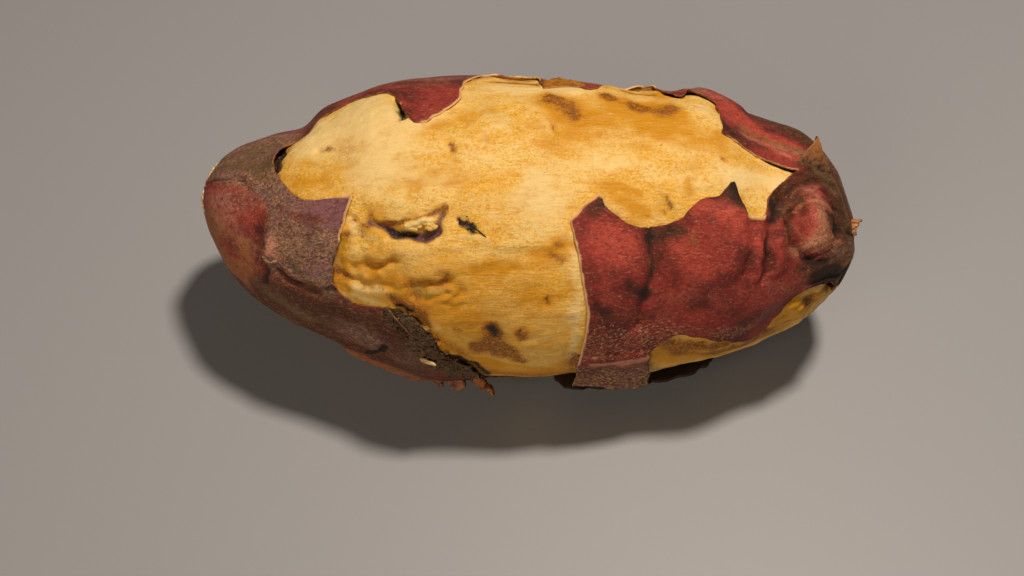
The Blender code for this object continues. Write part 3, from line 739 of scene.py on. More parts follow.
        # and the cores of the dark spots
        "shadeAndDarkSpots": (
            (-53.8, 86, -53.2, 96, -52.4, 103, 0.9, 2.0), (-27, 105, -25.6, 96, 0.8, 1.0),
            (-12.2, 53.2, -11.6, 52.2, 1.0, 1.5), (-14.1, 54, -13.6, 53, 0.7, 0.8),
            (50.5, 86, 55, 83, 0.8, 0.5), (62.8, 6, 64.0, 0, 65.2, -14, 1.2, 1.6),
            (-26.6, 22, -24, 21, 0.9, 1.0), (-28, 50.6, -25.6, 49.3, -23.2, 48.7, 0.8, 1.2),
            (-21.4, 48.5, -20, 49, 0.5, 0.4),
            (-17.5, 1, -14.8, -2, -12.4, -4.5, -10.4, -9, -9, -17, 0.9, 1.2),
            (7.6, 103, 8.8, 101, 0.5, 0.5), (-7.8, 15.4, -7, 13, 1.3, 0.9),
            (-2.1, 14, -1.9, 13, 0.8, 0.6), (-14, 54.6, -14, 53, 0.5, 0.7)),
        "wet": (
            (-8, 88, 4, 84, 16, 88, 6.0, 0.9), (14, 92, 34, 90, 4.0, 0.6),
            (-22, 30, -14, 32, 3.0, 0.5)),
    },
}


def makeFlesh():
    # the potato's own surface, lowered where skin covers it, with torn fibres as noise drawn
    # out along X, and the named dips, lips and ledges laid over them
    flat, triangles = roundGrid(flesh["alongRanges"], flesh["aroundRanges"])
    print("flesh grid", len(triangles), "triangles")
    edge = fromEdge(flat)
    place = onPotato(flat, np.zeros(len(flat))) / mm
    astray = wandered(flat, *flesh["wander"])
    dips = paintLines(astray, flesh["relief"]) + paintLedges(astray, flesh["ledges"])
    crumbly = np.clip(paintLines(astray, flesh["crumbly"]), 0, 1)
    lumpy, fibrous, torn, crumbs = [roughNoise(place, *flesh[kind][0])
                                    for kind in ("lumps", "fibres", "tears", "crumbs")]
    height = flesh["height"] + flesh["lumps"][1] * lumpy + flesh["fibres"][1] * fibrous
    height += flesh["tears"][1] * np.abs(torn) + dips + flesh["crumbs"][1] * crumbly * crumbs
    cover = ramp(edge, *flesh["covered"])
    near, far = flesh["underSkin"]
    height = height * (1 - cover) - (near + (far - near) * ramp(edge, *flesh["deeper"])) * cover
    masks = {name: paintLines(astray, lines) for name, lines in flesh["masks"].items()}
    for mask, (fromLumps, fromDips, most) in flesh["tints"].items():
        masks[mask] += np.clip(fromLumps * lumpy + fromDips * dips, 0, most)
    for mask, (share, side, start) in flesh["crumbTints"].items():
        masks[mask] += share * crumbly * np.clip(side * crumbs - start, 0, 1)
    piece = makeMesh("flesh", onPotato(flat, height), triangles, masks, ["flesh"])


makeFlesh()
print("flesh made")

skin = {
    "alongRanges": ((-70.45, -69, 0.35), (-69, -64, 0.6), (-64, 62, 0.62), (62, 67, 0.55),
                    (67, 69.05, 0.4)),
    "aroundRanges": ((-100, -45, 1.3), (-45, 88, 0.58), (88, 101.06, 1.4)),
    "height": 0.62,
    "thickness": 0.36,
    "endFade": 2.5,  # folds die out over this at both tips
    # noise: size, octaves, seed and stretch along X, and how high it stands
    "sag": ((7.0, 4, 61, 1.8), 0.22),
    "crumbs": ((1.5, 3, 65), 0.4),
    "wander": (0.6, 4.0, 91),
    # dried strands that circle the lump at the root end
    "strands": {
        "middle": (57.0, 52.0), "reach": 13.0, "height": 0.36, "noise": (1.4, 3, 67),
        "squeeze": 5,  # how much longer they are than wide
        "inner": 4.0, "least": 0.3,  # the middle where they fade, and what stays there
        "hollow": 0.25, "top": 0.15, "tint": 1.1},  # what is charred, what is ochre, how much
    "back": {
        "over": 62, "under": 16, "fade": 8,  # where it starts at top and bottom, mm around
        "patches": (9.0, 5, 75, 3.5), "burnt": (6.0, 3, 77, 2),
        "tints": {"dust": (0.3, 0.6), "umber": (0.3, -0.5)},  # everywhere, and by patches
        "front": 0.25,  # share of the dusty patches on the whole potato
        "net": (0.4, 0.5), "char": (0.8, 0.45)},  # strength, and level in patches or burnt
    "rimWidth": 0.35,
    "edgeChar": (0.3, 0.8),  # strength and width
    # place, radius, height and reach from the edge of each curled stretch
    "lifts": (
        ((-52, 93), 6.5, 0.9, 2.2), ((-15, 106), 4.0, 0.3, 1.2), ((9, 125), 5.0, 0.5, 1.4),
        ((-7, 135), 8.0, 0.6, 1.5), ((1, 131), 5.0, 0.9, 1.6), ((24, 131), 5.5, 1.9, 1.4),
        ((31, 118), 4.0, 0.6, 1.4), ((45, 90), 6.0, 0.1, 1.4), ((52, 84), 4.5, 0.4, 1.6),
        ((13, 62), 3.0, 0.4, 1.2), ((39.5, 70), 3.0, 0.4, 1.2), ((10, 18), 16.0, 0.1, 1.2),
        ((16, -9), 9.0, 0.5, 2.4), ((-21, 13), 6.0, 0.3, 1.4), ((-11, -12), 7.0, 0.9, 2.4),
        ((47, 60), 4.0, 0.3, 1.2), ((60, 14), 5.0, 0.5, 1.8), ((-36, 60), 4.0, 0.4, 1.2),
        ((63, 2), 5.0, 0.8, 2.5)),
    "liftNoise": (0.3, 2.5, 71),  # how uneven they are, size and seed
    # stretches where the skin is burnt to crumbs: line, half width, strength
    "crumbly": (
        (-27, 16, -23, 12, -19, 4, -14, -6, -11, -20, 2.6, 1.2), (-22, 2, -16, -12, 3.0, 0.8),
        (-27, 18, -22.6, 17.6, -20, 12, 1.2, 0.8), (62.6, 9, 66, -2, 67, -20, 1.6, 0.8),
        (50, 70, 56, 80, 62, 86, 2.4, 0.2), (62, 88, 66, 70, 67, 50, 2.6, 0.25)),
    # line, half width, height
    "relief": (
        (-52.4, 43, -52.3, 34, 1.6, 1.1),
        (-54, 31.5, -53.4, 29.4, -52.2, 28.8, -51.2, 31, 0.4, 0.4),
        (-55.5, 45, -55.3, 44, 1.4, -0.8), (-54.4, 70, -54.2, 44, 0.7, -0.25),
        (-67.5, 81, -60, 80, 0.7, -0.5), (-60, 80, -59, 74, 0.6, -0.4),
        (-59, 74, -53, 71, 0.7, -0.45), (-66, 87, -52, 86, 3.5, 0.4),
        (-51.5, 25, -48, 21, -43, 19, 1.0, -0.8), (-50, 17, -42, 13, -34, 12, 2.0, 0.35),
        (-53.9, 26, -54.2, 12, 0.8, -0.6), (-46, 52, -43, 40, 2.4, 0.3),
        (52.9, 68, 51.6, 60, 51.3, 52, 52.5, 44, 54.4, 38, 57.2, 34, 0.9, -0.9),
        (55.2, 34.5, 57.2, 32, 58.8, 31.2, 0.8, -0.7),
        (55.6, 74, 57.4, 68, 59.2, 60, 60, 51, 58.6, 44, 56, 41, 1.6, 0.3),
        (54.6, 62, 55.2, 56, 1.2, -0.2), (51, 62, 51, 44, 2.0, 0.3),
        (60.4, 73, 62.2, 67, 63, 57, 62.4, 45, 61, 37, 0.8, -0.7),
        (56, 25, 60, 21, 65, 19, 1.5, 0.5), (60, 19, 64, 13, 66, 6, 1.2, -0.5),
        (47.9, 68, 50.2, 75, 53.9, 82, 57.6, 88, 1.0, 0.8),
        (49.5, 63, 53.6, 73, 58.3, 80, 62, 83, 0.9, -0.9), (51, 62, 54.5, 69, 59, 76, 0.9, 0.5),
        (61.5, 95, 62.5, 85, 64.5, 75, 67, 60, 1.4, 0.8), (65, 84, 67.2, 66, 66.6, 44, 0.8, -0.5),
        (66, 40, 66.6, 20, 1.2, 0.5), (22.8, 53, 23.2, 38, 22.6, 22, 21.5, 12, 0.8, -0.75),
        (24.6, 50, 25, 36, 24.4, 22, 1.4, 0.4), (43.2, 54, 42.6, 33, 1.0, -0.65),
        (40.6, 58, 39.8, 36, 1.6, 0.4), (47, 55, 46.3, 28, 1.1, -0.85),
        (49.2, 52, 48.6, 30, 1.2, 0.65), (45, 50, 44.6, 30, 1.1, 0.5),
        (31.4, 51, 31.4, 44, 0.7, -0.4), (13, 24, 19, 28, 1.6, -0.2),
        (31.8, 121, 36.5, 128, 43, 122, 2.4, 0.9), (33, 122, 38, 119, 0.9, -0.6),
        (41, 100, 47, 100, 55, 92, 1.5, -0.15), (-28.9, 17, -24.5, 10, 0.7, -0.5),
        (-25.7, 12, -24.2, 5, 0.8, -0.6), (-31.4, -8, -30.4, -3, 0.9, -1.2),
        (-38.8, -11, -36, -10.5, -32.5, -9.5, -29, -12, 1.0, -0.8),
        (-37.5, -19, -34, -19, -30.5, -21, -24, -28, 2.0, 0.8), (-22, -6, -19, -3.5, 0.8, 0.5),
        (-40, 12, -28, 8, 1.0, -0.4), (-46, 6, -34, 2, 1.0, -0.4), (-44, -4, -33, -6, 1.0, -0.35),
        (10, -3, 23, -4.5, 1.0, 0.5), (-50, 150, -20, 156, 16, 150, 2.4, -0.5),
        (-30, 172, 10, 176, 46, 168, 3.0, 0.5), (-44, 196, -10, 190, 20, 194, 2.0, -0.45),
        (10, 210, 44, 205, 2.6, -0.4), (-20, 142, -14, 141, 1.1, -0.8),
        (24, 158, 30, 157, 1.2, -0.9), (-36, 180, -31, 181, 1.1, -0.8),
        (50, 150, 54, 146, 1.0, -0.7), (2, 164, 7, 165, 1.0, -0.7), (36, 190, 41, 188, 1.1, -0.8)),
    # line, half width, strength
    "masks": {
        # brighter crimson skin; on the panel and the root lobe it is also painted light, the soft
        # sheen and light they catch
        "bright": (
            (14, 49, 18, 46, 4.0, 0.95), (14, 40, 19, 36, 3.4, 0.5), (29, 44, 33, 36, 4.4, 0.8),
            (33, 60, 37, 60, 3.0, 0.9), (40, 56, 42.4, 46, 2.6, 0.8), (49, 46, 49.5, 34, 2.0, 0.7),
            (45, 48, 44.8, 34, 1.2, 0.6), (26, 24, 32, 22, 3.4, 0.35), (51, 92, 54, 92, 2.8, 0.7),
            (42, 110, 50, 102, 56, 98, 4.0, 1.1), (37, 122, 43, 114, 3.0, 0.5),
            (15, 26, 18, 19, 4.0, 0.5), (56, 73, 57.6, 62, 58, 50, 56.4, 42, 3.2, 1.0),
            (53, 60, 54, 50, 2.0, 0.3), (-66, 66, -63, 50, -62, 34, 5.0, 0.4),
            (-58, 66, -56, 60, 3.0, 0.25), (35, 122, 40, 124, 2.4, 0.4), (44, 57, 47, 53, 2.0, 0.5),
            (-34, 122, -16, 112, 4.0, 0.5), (-48, -15, -38, -10, 1.8, 0.4)),
        "pink": (
            (-52.4, 42, -52.3, 34, 1.5, 0.9), (-46.6, 41, -46.8, 48, 2.2, 0.3),
            (-66, 64, -65, 40, 4.0, 0.4), (-61, 60, -60, 40, 3.0, 0.25),
            (56.4, 71, 58, 60, 58.4, 50, 56.6, 43, 2.6, 0.6), (43, 99, 49, 96, 53, 91, 1.4, 0.6),
            (52, 40, 55, 34, 1.6, 0.4), (39, 60, 40, 54, 2.4, 0.2), (14, 48, 18, 44, 3.0, 0.15),
            (33, 60, 36, 61, 2.2, 0.2), (52, 98, 56, 95, 1.2, 0.3)),
        "olive": (
            (-66, 92, -60, 94, -53, 90, 5.0, 0.8), (-64, 112, -54, 112, 5.0, 0.6),
            (-46, 66, -44, 56, 3.0, 0.3), (63.5, 100, 66, 80, 67.4, 50, 67, 16, 2.6, 0.8),
            (58, 90, 61, 84, 2.0, 0.5), (58, 124, 65, 116, 4.0, 0.5),
            (-52, -12, -47, -16, 1.8, 0.8), (-54, 2, -46, 2, 3.0, 0.3), (60, 22, 65, 16, 2.4, 0.5),
            (56, 90, 60, 86, 2.0, 0.4), (-52, 6, -46, -2, 2.6, 0.7), (-42, 4, -34, -2, 2.2, 0.5)),
        "net": (
            (11, 14, 20, 12, 5.0, 0.5), (12, 2, 24, 0, 6.0, 1.0), (28, 10, 42, 4, 5.0, 0.7),
            (40, 2, 50, 2, 4.0, 0.5), (54, 30, 62, 44, 3.0, 0.5),
            (56, 68, 58.6, 59, 59, 50, 56.4, 42, 53.5, 42, 3.0, 0.9),
            (-52.4, 42, -52.3, 34, 1.4, 0.7), (-48, 60, -47, 40, 4.0, 0.25),
            (-47, 52, -45.5, 38, 2.0, 0.4), (-24, 4, -14, -10, 4.0, 0.3),
            (62, 92, 66, 60, 3.0, 0.35)),
        "dust": (
            (-49, 66, -47, 34, 6.0, 0.8), (-64, 60, -61, 36, 5.0, 0.3), (-52, 4, -32, 0, 4.0, 0.2),
            (-41, 46, -40, 28, 3.0, 0.8), (-66, 88, -51, 84, 5.0, 0.9),
            (-65, 104, -54, 102, 6.0, 0.8), (-64, 122, -56, 120, 6.0, 0.7),
            (-55, 76, -46, 70, 3.0, 0.7), (-52.6, 66, -52.6, 28, 1.6, 0.5),
            (-44, 30, -40, 20, 3.0, 0.6), (-52, 26, -54, 8, 3.6, 0.5), (12, 2, 22, 2, 4.0, 0.25),
            (28, 8, 42, 2, 3.0, 0.2), (44, 6, 50, 10, 54, 24, 3.0, 0.15),
            (50, 72, 58, 84, 3.2, 0.12), (62, 90, 66, 70, 67, 50, 3.4, 0.2),
            (61, 40, 66, 30, 3.4, 0.5), (57, 100, 63, 110, 4.0, 0.4), (57, 126, 65, 118, 5.0, 0.7),
            (57, 88, 61, 80, 3.0, 0.15), (-22, 2, -14, -8, -11, -20, 3.0, 0.8),
            (-38, 0, -26, -6, 4.0, 0.35), (10, -9, 23, -9, 2.0, 0.8), (52, 98, 56, 96, 1.4, 0.5)),
        # charred patches and spots; where a line follows a crease of the relief, on the cap, down
        # the panel and round the root lobe, its dark is painted shade in that crease
        "char": (
            (-51.5, 25, -47, 21, 0.9, 1.0), (-53.9, 27, -54.3, 12, 0.8, 0.8),
            (-43, 20, -39, 22, 1.2, 0.6), (-27, 17.5, -24, 15, 1.6, 0.7),
            (-31.4, -7.5, -30.2, -2.5, 0.8, 2.4), (-34, -12, -31.4, -8, 0.6, 1.2),
            (12.5, 23, 15, 21, 1.8, 0.75), (19, 32, 22, 26, 1.6, 0.7),
            (22.9, 51, 23.4, 40, 22.8, 26, 0.7, 0.8), (24, 48, 28.5, 51, 1.5, 0.55),
            (24, 36, 26, 43, 1.0, 0.4), (21, 22, 24, 16, 1.6, 0.5), (12.4, 61, 15, 60, 1.2, 0.5),
            (8, 53, 11, 58, 1.2, 0.4), (39.4, 69, 39.6, 64, 1.6, 0.6), (42.5, 60, 41, 66, 0.9, 0.5),
            (32, 20, 40, 16, 3.6, 0.5), (30, 34, 34, 28, 2.6, 0.4), (42.8, 50, 42.4, 30, 0.9, 0.4),
            (46.8, 55, 46.2, 28, 0.9, 0.6), (49.5, 63, 53.6, 73, 58.3, 80, 0.8, 0.45),
            (47.5, 64, 49, 68, 1.0, 0.3), (47.5, 62, 49, 58, 1.4, 0.6),
            (51.6, 60, 51.3, 52, 52.5, 44, 54.4, 38, 0.6, 0.5),
            (54, 36, 56.6, 32, 59.4, 30, 1.2, 0.9), (57.5, 25, 62.5, 22, 2.2, 0.8),
            (62.4, 66, 63, 56, 62.4, 46, 0.7, 0.5), (60, 19, 62.6, 10, 64.4, 0, 66, -16, 2.6, 1.6),
            (63, 84, 66, 70, 1.2, 0.4), (38.4, 98, 41, 94, 1.4, 0.55), (41, 95, 48, 93, 1.0, 0.2),
            (36.4, 63, 38.2, 60, 1.6, 0.5), (31, 44, 34, 39, 2.2, 0.35),
            (34, 120, 37, 118, 1.1, 0.8), (-56, 46, -54.5, 43, 1.2, 0.6),
            (-49, 31, -45, 28, 1.8, 0.5), (-44.5, 56, -42, 50, 1.8, 0.35),
            (-53.4, 62, -53, 50, 1.0, 0.3), (-67.5, 81, -60, 80, 0.6, 0.45),
            (-59, 74, -53, 71, 0.5, 0.5), (46, 0, 50, 8, 2.0, 0.5), (-51, 84, -51.5, 96, 1.0, 0.5),
            (-20, 142, -14, 141, 1.0, 0.7), (24, 158, 30, 157, 1.0, 0.8),
            (-36, 180, -31, 181, 1.0, 0.7), (50, 150, 54, 146, 1.0, 0.7),
            (2, 164, 7, 165, 0.9, 0.7), (36, 190, 41, 188, 1.0, 0.7)),
        "umber": (
            (-56, 8, -46, 14, -34, 10, -24, 6, 7.0, 0.9), (-50, -6, -38, -6, -26, -10, 6.0, 0.75),
            (-60, 0, -54, -8, 5.0, 0.5), (48, 66, 54, 76, 60, 86, 3.6, 0.8),
            (60, 90, 65, 74, 66.6, 50, 3.4, 1.0), (62, 38, 66.6, 26, 3.4, 1.0),
            (55, 30, 62, 20, 3.4, 0.9), (56, 118, 62, 112, 66, 92, 67.6, 50, 67.6, -10, 5.0, 1.0),
            (57, 132, 62, 126, 66, 122, 6.0, 1.2), (60, 60, 63.5, 50, 63, 40, 2.0, 0.8),
            (50, 60, 51.5, 52, 1.4, 0.5), (51, 50, 53, 40, 1.4, 0.6), (53, 66, 54, 60, 1.6, 0.6),
            (-56, -18, -40, -30, -14, -34, 8.0, 1.0), (-60, -40, 0, -60, 14.0, 0.6),
            (12, 58, 16, 62, 2.0, 0.8), (38.6, 66, 40.6, 62, 1.8, 0.9), (24, 48, 29, 50, 2.0, 0.8),
            (47.5, 64, 49.5, 60, 1.6, 0.8), (12, 18, 24, 16, 3.0, 0.4),
            (38, 98, 42, 95, 48, 93, 1.4, 0.4)),
        "purple": (
            (-44, 61, -36.5, 60, 2.8, 1.0), (-38, 57, -40, 48, 2.6, 0.9),
            (-53, 80, -49.8, 68, -44, 62, 1.5, 0.9), (-46, 50, -42, 44, 3.0, 0.4),
            (-47, 60, -42.5, 58, 2.0, 0.5), (12, 60, 14, 57, 2.0, 0.5),
            (39.3, 66, 38, 63, 1.6, 0.5), (40, 96, 47, 93, 1.6, 0.3), (47, 6, 50.5, 13, 1.8, 0.7),
            (-50, 30, -44, 26, 2.0, 0.5), (-30, 12, -20, 4, 4.0, 0.3), (47.5, 65, 47, 58, 1.4, 0.6)),
        "ochre": (
            (-68, 34, -67, 4, -63, -20, -58, -22, 4.0, 1.0), (-62, 12, -56, -4, 3.0, 0.4),
            (-59, 36, -58, 24, -60, 10, 4.0, 0.8), (-66.5, 60, -66, 30, 2.4, 0.6),
            (58.4, 66, 60, 50, 57.4, 42, 53.5, 41, 2.4, 0.7), (44, 104, 54, 97, 3.2, 0.8),
            (-60.8, 18, -60.8, 13, 0.5, 0.5),
            (-38.5, -19, -34.5, -18, -30, -21, -22, -30, 2.6, 1.1), (64, 96, 68, 80, 2.4, 0.7),
            (-56, -24, -51, -20, 1.6, 1.2), (60, 44, 66, 40, 3.0, 0.45),
            (23.2, 40, 23.4, 37, 0.7, 0.9), (31.4, 50, 31.4, 46, 0.7, 0.9),
            (38, 30, 38.5, 20, 0.9, 0.4), (-46, 44, -44, 38, 1.8, 0.3), (57, 100, 63, 96, 2.0, 0.5)),
        "rim": (
            (-54, 31.5, -53.4, 29.4, -52.2, 28.8, -51.2, 31, 0.4, 0.7),
            (-57, -25, -52, -22, 0.7, 0.5)),
        # pale torn edge, seen on the rim and on the inside
        "pale": (
            (13, 63, 7.5, 54, 9.5, 36, 11, 19, 9.4, -3, 0.9, 1.1), (-35, 63, -38.5, 46, 1.4, 1.1),
            (-35, 63, -45, 62, 1.0, 0.4),
            (-25, 102, -21, 94, -17, 100, -14.5, 104, -13, 123, 1.4, 1.1),
            (-13, 125, -6.5, 137, 0.5, 131, 3, 119, 9, 127, 14, 118, 1.2, 0.8),
            (16, 120, 23.5, 133, 29, 120, 1.2, 0.9), (46, 56, 42.5, 56, 1.0, 1.2),
            (40, 92, 46, 87, 53, 82, 1.0, 0.5), (-12, -12, -9.5, -22, 1.2, 0.6)),
    },
}


def addStrands(flat, masks):
    # noise on (distance from the middle, turn round it), so that it runs in rings, and its
    # hollows are charred and its tops ochre
    own = skin["strands"]
    off = flat - unrolled([own["middle"]])
    radius = np.linalg.norm(off, axis=1)
    turn = np.arctan2(off[:, 1], off[:, 0])
    ringed = np.stack([radius, turn * radius / own["squeeze"], 0 * radius], -1)
    strand = roughNoise(ringed, *own["noise"])
    dried = np.exp(-((radius / own["reach"]) ** 2))
    dried *= np.clip(radius / own["inner"], own["least"], 1)
    masks["char"] += own["tint"] * dried * np.clip(-strand - own["hollow"], 0, 1)
    masks["ochre"] += own["tint"] * dried * np.clip(strand - own["top"], 0, 1)
    return own["height"] * dried * strand


def addBack(flat, place, masks):
    # the side that faces away: dusty patches, umber between them, scales and burnt spots
    own = skin["back"]
    behind = ramp(flat[:, 1], own["over"], own["fade"])
    behind += ramp(-flat[:, 1], own["under"], own["fade"])
    patches = roughNoise(place, *own["patches"])
    for mask, (even, patchy) in own["tints"].items():
        masks[mask] += (even + patchy * patches) * behind
    masks["dust"] += own["front"] * patches
    share, level = own["net"]
    masks["net"] += share * behind * np.clip(level + patches, 0, 1)
    share, level = own["char"]
    masks["char"] += share * behind * np.clip(roughNoise(place, *own["burnt"]) - level, 0, 1)


def makeSkin():
    # the potato's surface again, one skin higher, with the window cut out of it along the
    # torn edge, folds and curled edges as bell curves, and thickness grown inwards
    flat, triangles = roundGrid(skin["alongRanges"], skin["aroundRanges"])
    flat, triangles = keepPositive(flat, triangles, fromEdge(flat))
    print("skin grid", len(triangles), "triangles")
    edge = np.maximum(fromEdge(flat), 0)
    place = onPotato(flat, np.zeros(len(flat))) / mm
    astray = wandered(flat, *skin["wander"])
    masks = {name: paintLines(astray, lines) for name, lines in skin["masks"].items()}
    crumbly = np.clip(paintLines(astray, skin["crumbly"]), 0, 1)
    folds = paintLines(astray, skin["relief"])
    noise, tall = skin["sag"]
    folds += tall * roughNoise(place, *noise)
    noise, tall = skin["crumbs"]
    folds += tall * crumbly * roughNoise(place, *noise)
    folds += addStrands(flat, masks)
    ends = np.minimum(flat[:, 0] - stationXs[0], stationXs[-1] - flat[:, 0])
    fade = ramp(ends, 0, skin["endFade"])
    height = skin["height"] + fade * folds
    uneven, size, seed = skin["liftNoise"]
    uneven = 1 + uneven * latticeNoise(place, size, seed)
    for spot, radius, lift, reach in skin["lifts"]:
        near = np.exp(-(((flat - unrolled([spot])) ** 2).sum(axis=1)) / radius**2)
        height += lift * near * np.exp(-edge / reach) * uneven
    addBack(flat, place, masks)
    masks["rim"] += masks["pale"] * np.exp(-((edge / skin["rimWidth"]) ** 2))
    share, width = skin["edgeChar"]
    masks["char"] += share * np.exp(-edge / width) * (1 - np.clip(masks["pale"], 0, 1))
    masks["crustAndShade"] = crumbly
    piece = makeMesh("skin", onPotato(flat, height), triangles, masks, ["skin", "inner", "edge"])
    giveThickness(piece, skin["thickness"])


makeSkin()
print("skin made")

# a loose end of skin or flesh; each has its own foot, the place it grows from, and heading,
# degrees round the potato, where -90 is down the front
plainFlap = {
    "taper": 0.4,  # how much it narrows
    "flare": 1.0,  # how late it narrows
    "slant": 0.0,
    "lift": (10, 24),  # slope off the surface at foot and tip, in degrees
    "ragged": 0.4,
    "waves": (0.3, 2.0),  # height and size
    "ridge": (((-0.5, 0.0), (0.5, 0.0)), 0.0, 1.0),  # (side, how far along), height, half width
    "thickness": 0.6,
    "start": 0.4,  # height of its foot
    "outline": ((-0.5, 1.0), (0.5, 1.0)),  # side, share of the length
    "faces": ("orange", "orange", "orange"),  # outside, inside and rim
    "masks": {"pale": (0.1, 0.3)},  # at foot and tip
}
curl = {**plainFlap, "heading": 92, "taper": 0.1, "thickness": 0.35,
        "faces": ("inner", "skin", "edge")}
flaps = {
    "hem": {
        **plainFlap, "foot": (16.9, -1.6), "heading": -90, "length": 12.0, "width": 14.8,
        "taper": -0.05, "slant": 0.12, "lift": (2, 26), "ragged": 0.3, "waves": (0.3, 3.0),
        "ridge": (((-0.5, 0.08), (-0.25, 0.1), (0.0, 0.17), (0.5, 0.08)), 0.75, 0.2),
        "thickness": 0.45, "start": 0.45, "faces": ("skin", "shaded", "edge"),
        "outline": ((-0.5, 1.02), (0.0, 1.02), (0.16, 1.1), (0.44, 1.18), (0.5, 1.14)),
        "masks": {"net": (0.98, 1.1), "umber": (0.8, 0.7), "dust": (0.3, 0.6),
                  "pale": (0.0, 0.5)}},
    "under lip": {
        **plainFlap, "foot": (24.5, -53), "heading": 90, "length": 7.0, "width": 39,
        "taper": 0.04, "lift": (14, 28), "waves": (0.5, 6.0), "thickness": 0.5,
        "start": 0.0, "ragged": 0.5,
        "outline": ((-0.5, 0.1), (-0.42, 0.45), (-0.35, 0.95), (-0.26, 1.4), (-0.08, 1.2),
                    (0.1, 0.95), (0.26, 1.3), (0.38, 1.55), (0.46, 1.5), (0.49, 0.9),
                    (0.5, 0.3)),
        "faces": ("shaded", "shaded", "shaded"),
        # this mask darkens the lip to near black: painted shade, as the lip lies under the flesh
        "masks": {"crustAndShade": (0.9, 0.9), "pale": (0.0, 0.1)}},
    "spike": {
        **plainFlap, "foot": (58.6, 85.5), "heading": 108, "length": 9.4, "width": 13.0,
        "taper": 0.93, "flare": 1.5, "lift": (26, 48), "ragged": 0.15, "waves": (0.25, 2.5),
        "thickness": 0.36, "start": -0.2, "faces": ("char", "char", "char"),
        "masks": {"pale": (0.1, 1.0)}},
    "pale sliver": {
        **plainFlap, "foot": (-22.4, -2.6), "heading": 10, "length": 3.6, "width": 1.6,
        "taper": 0.9, "lift": (14, 26), "waves": (0.2, 2.0), "thickness": 0.4, "start": 0.8,
        "faces": ("edge", "edge", "edge"), "masks": {"pale": (0.5, 0.9)}},
    "low flake": {
        **plainFlap, "foot": (-12.0, -31), "heading": -40, "length": 6.0, "width": 3.0,
        "taper": 0.5, "lift": (30, 50), "ragged": 0.8, "waves": (0.6, 1.6), "thickness": 0.9,
        "outline": ((-0.5, 0.8), (0.0, 1.05), (0.5, 0.7))},
    "middle flake": {
        **plainFlap, "foot": (-15.8, -33), "heading": -70, "length": 2.4, "width": 3.0,
        "lift": (40, 60), "ragged": 0.9, "waves": (0.6, 1.4), "thickness": 0.8,
        "outline": ((-0.5, 0.5), (0.1, 1.1), (0.5, 0.6)), "faces": ("edge", "edge", "edge")},
    "outer flake": {
        **plainFlap, "foot": (-19.6, -33), "heading": -80, "length": 1.5, "width": 2.4,
        "lift": (40, 60), "ragged": 0.8, "waves": (0.5, 1.4),
        "outline": ((-0.5, 0.4), (0.0, 1.1), (0.5, 0.5)), "faces": ("edge", "edge", "edge")},
    "root flake": {
        **plainFlap, "foot": (68.0, 84), "heading": 0, "length": 2.2, "width": 30.0,
        "taper": 0.3, "lift": (80, 88), "ragged": 0.5, "start": -0.2,
        "outline": ((-0.5, 0.5), (0.1, 0.8), (0.5, 1.2)), "masks": {"pale": (0.1, 0.5)}},
    "amber curl": {
        **curl, "foot": (7.0, 113), "length": 3.0, "width": 9.0, "lift": (14, 26),
        "ragged": 0.25, "waves": (0.25, 2.6), "start": 0.5,
        "outline": ((-0.5, 0.3), (-0.2, 0.8), (0.1, 1.1), (0.5, 0.9)),
        "masks": {"pale": (-0.3, 0.3)}},
    "far curl": {
        **curl, "foot": (23.6, 125), "length": 2.9, "width": 10.0, "lift": (16, 28),
        "ragged": 0.2, "waves": (0.2, 2.6),
        "outline": ((-0.5, 0.3), (-0.3, 1.0), (0.1, 1.1), (0.5, 0.3)),
        "masks": {"pale": (-0.4, 0.2)}},
}
flapForm = {
    "cell": 0.4,
    "tipNoise": (2.5, 3),  # size and octaves
    "sideNoise": (2.0, 3),
    "tipRagged": 1.6,  # how much more than the sides
    "sideFrom": 0.25,  # the sides are ragged from here out
    "sidesApart": 20,  # keeps their noise different
    "slantFade": 0.7,
    "sway": (0.03, 3.0),  # how far the ridge wanders, and size
    "uneven": (0.5, 2.4),  # how much its width changes, and size
    "ridgeNarrows": 0.5,
    "ridgeFade": 0.2,
    # pink laid along a ridge's crest: the fold's own pinkish tone, and painted highlight on the fold
    "ridgePink": 1.1,
}


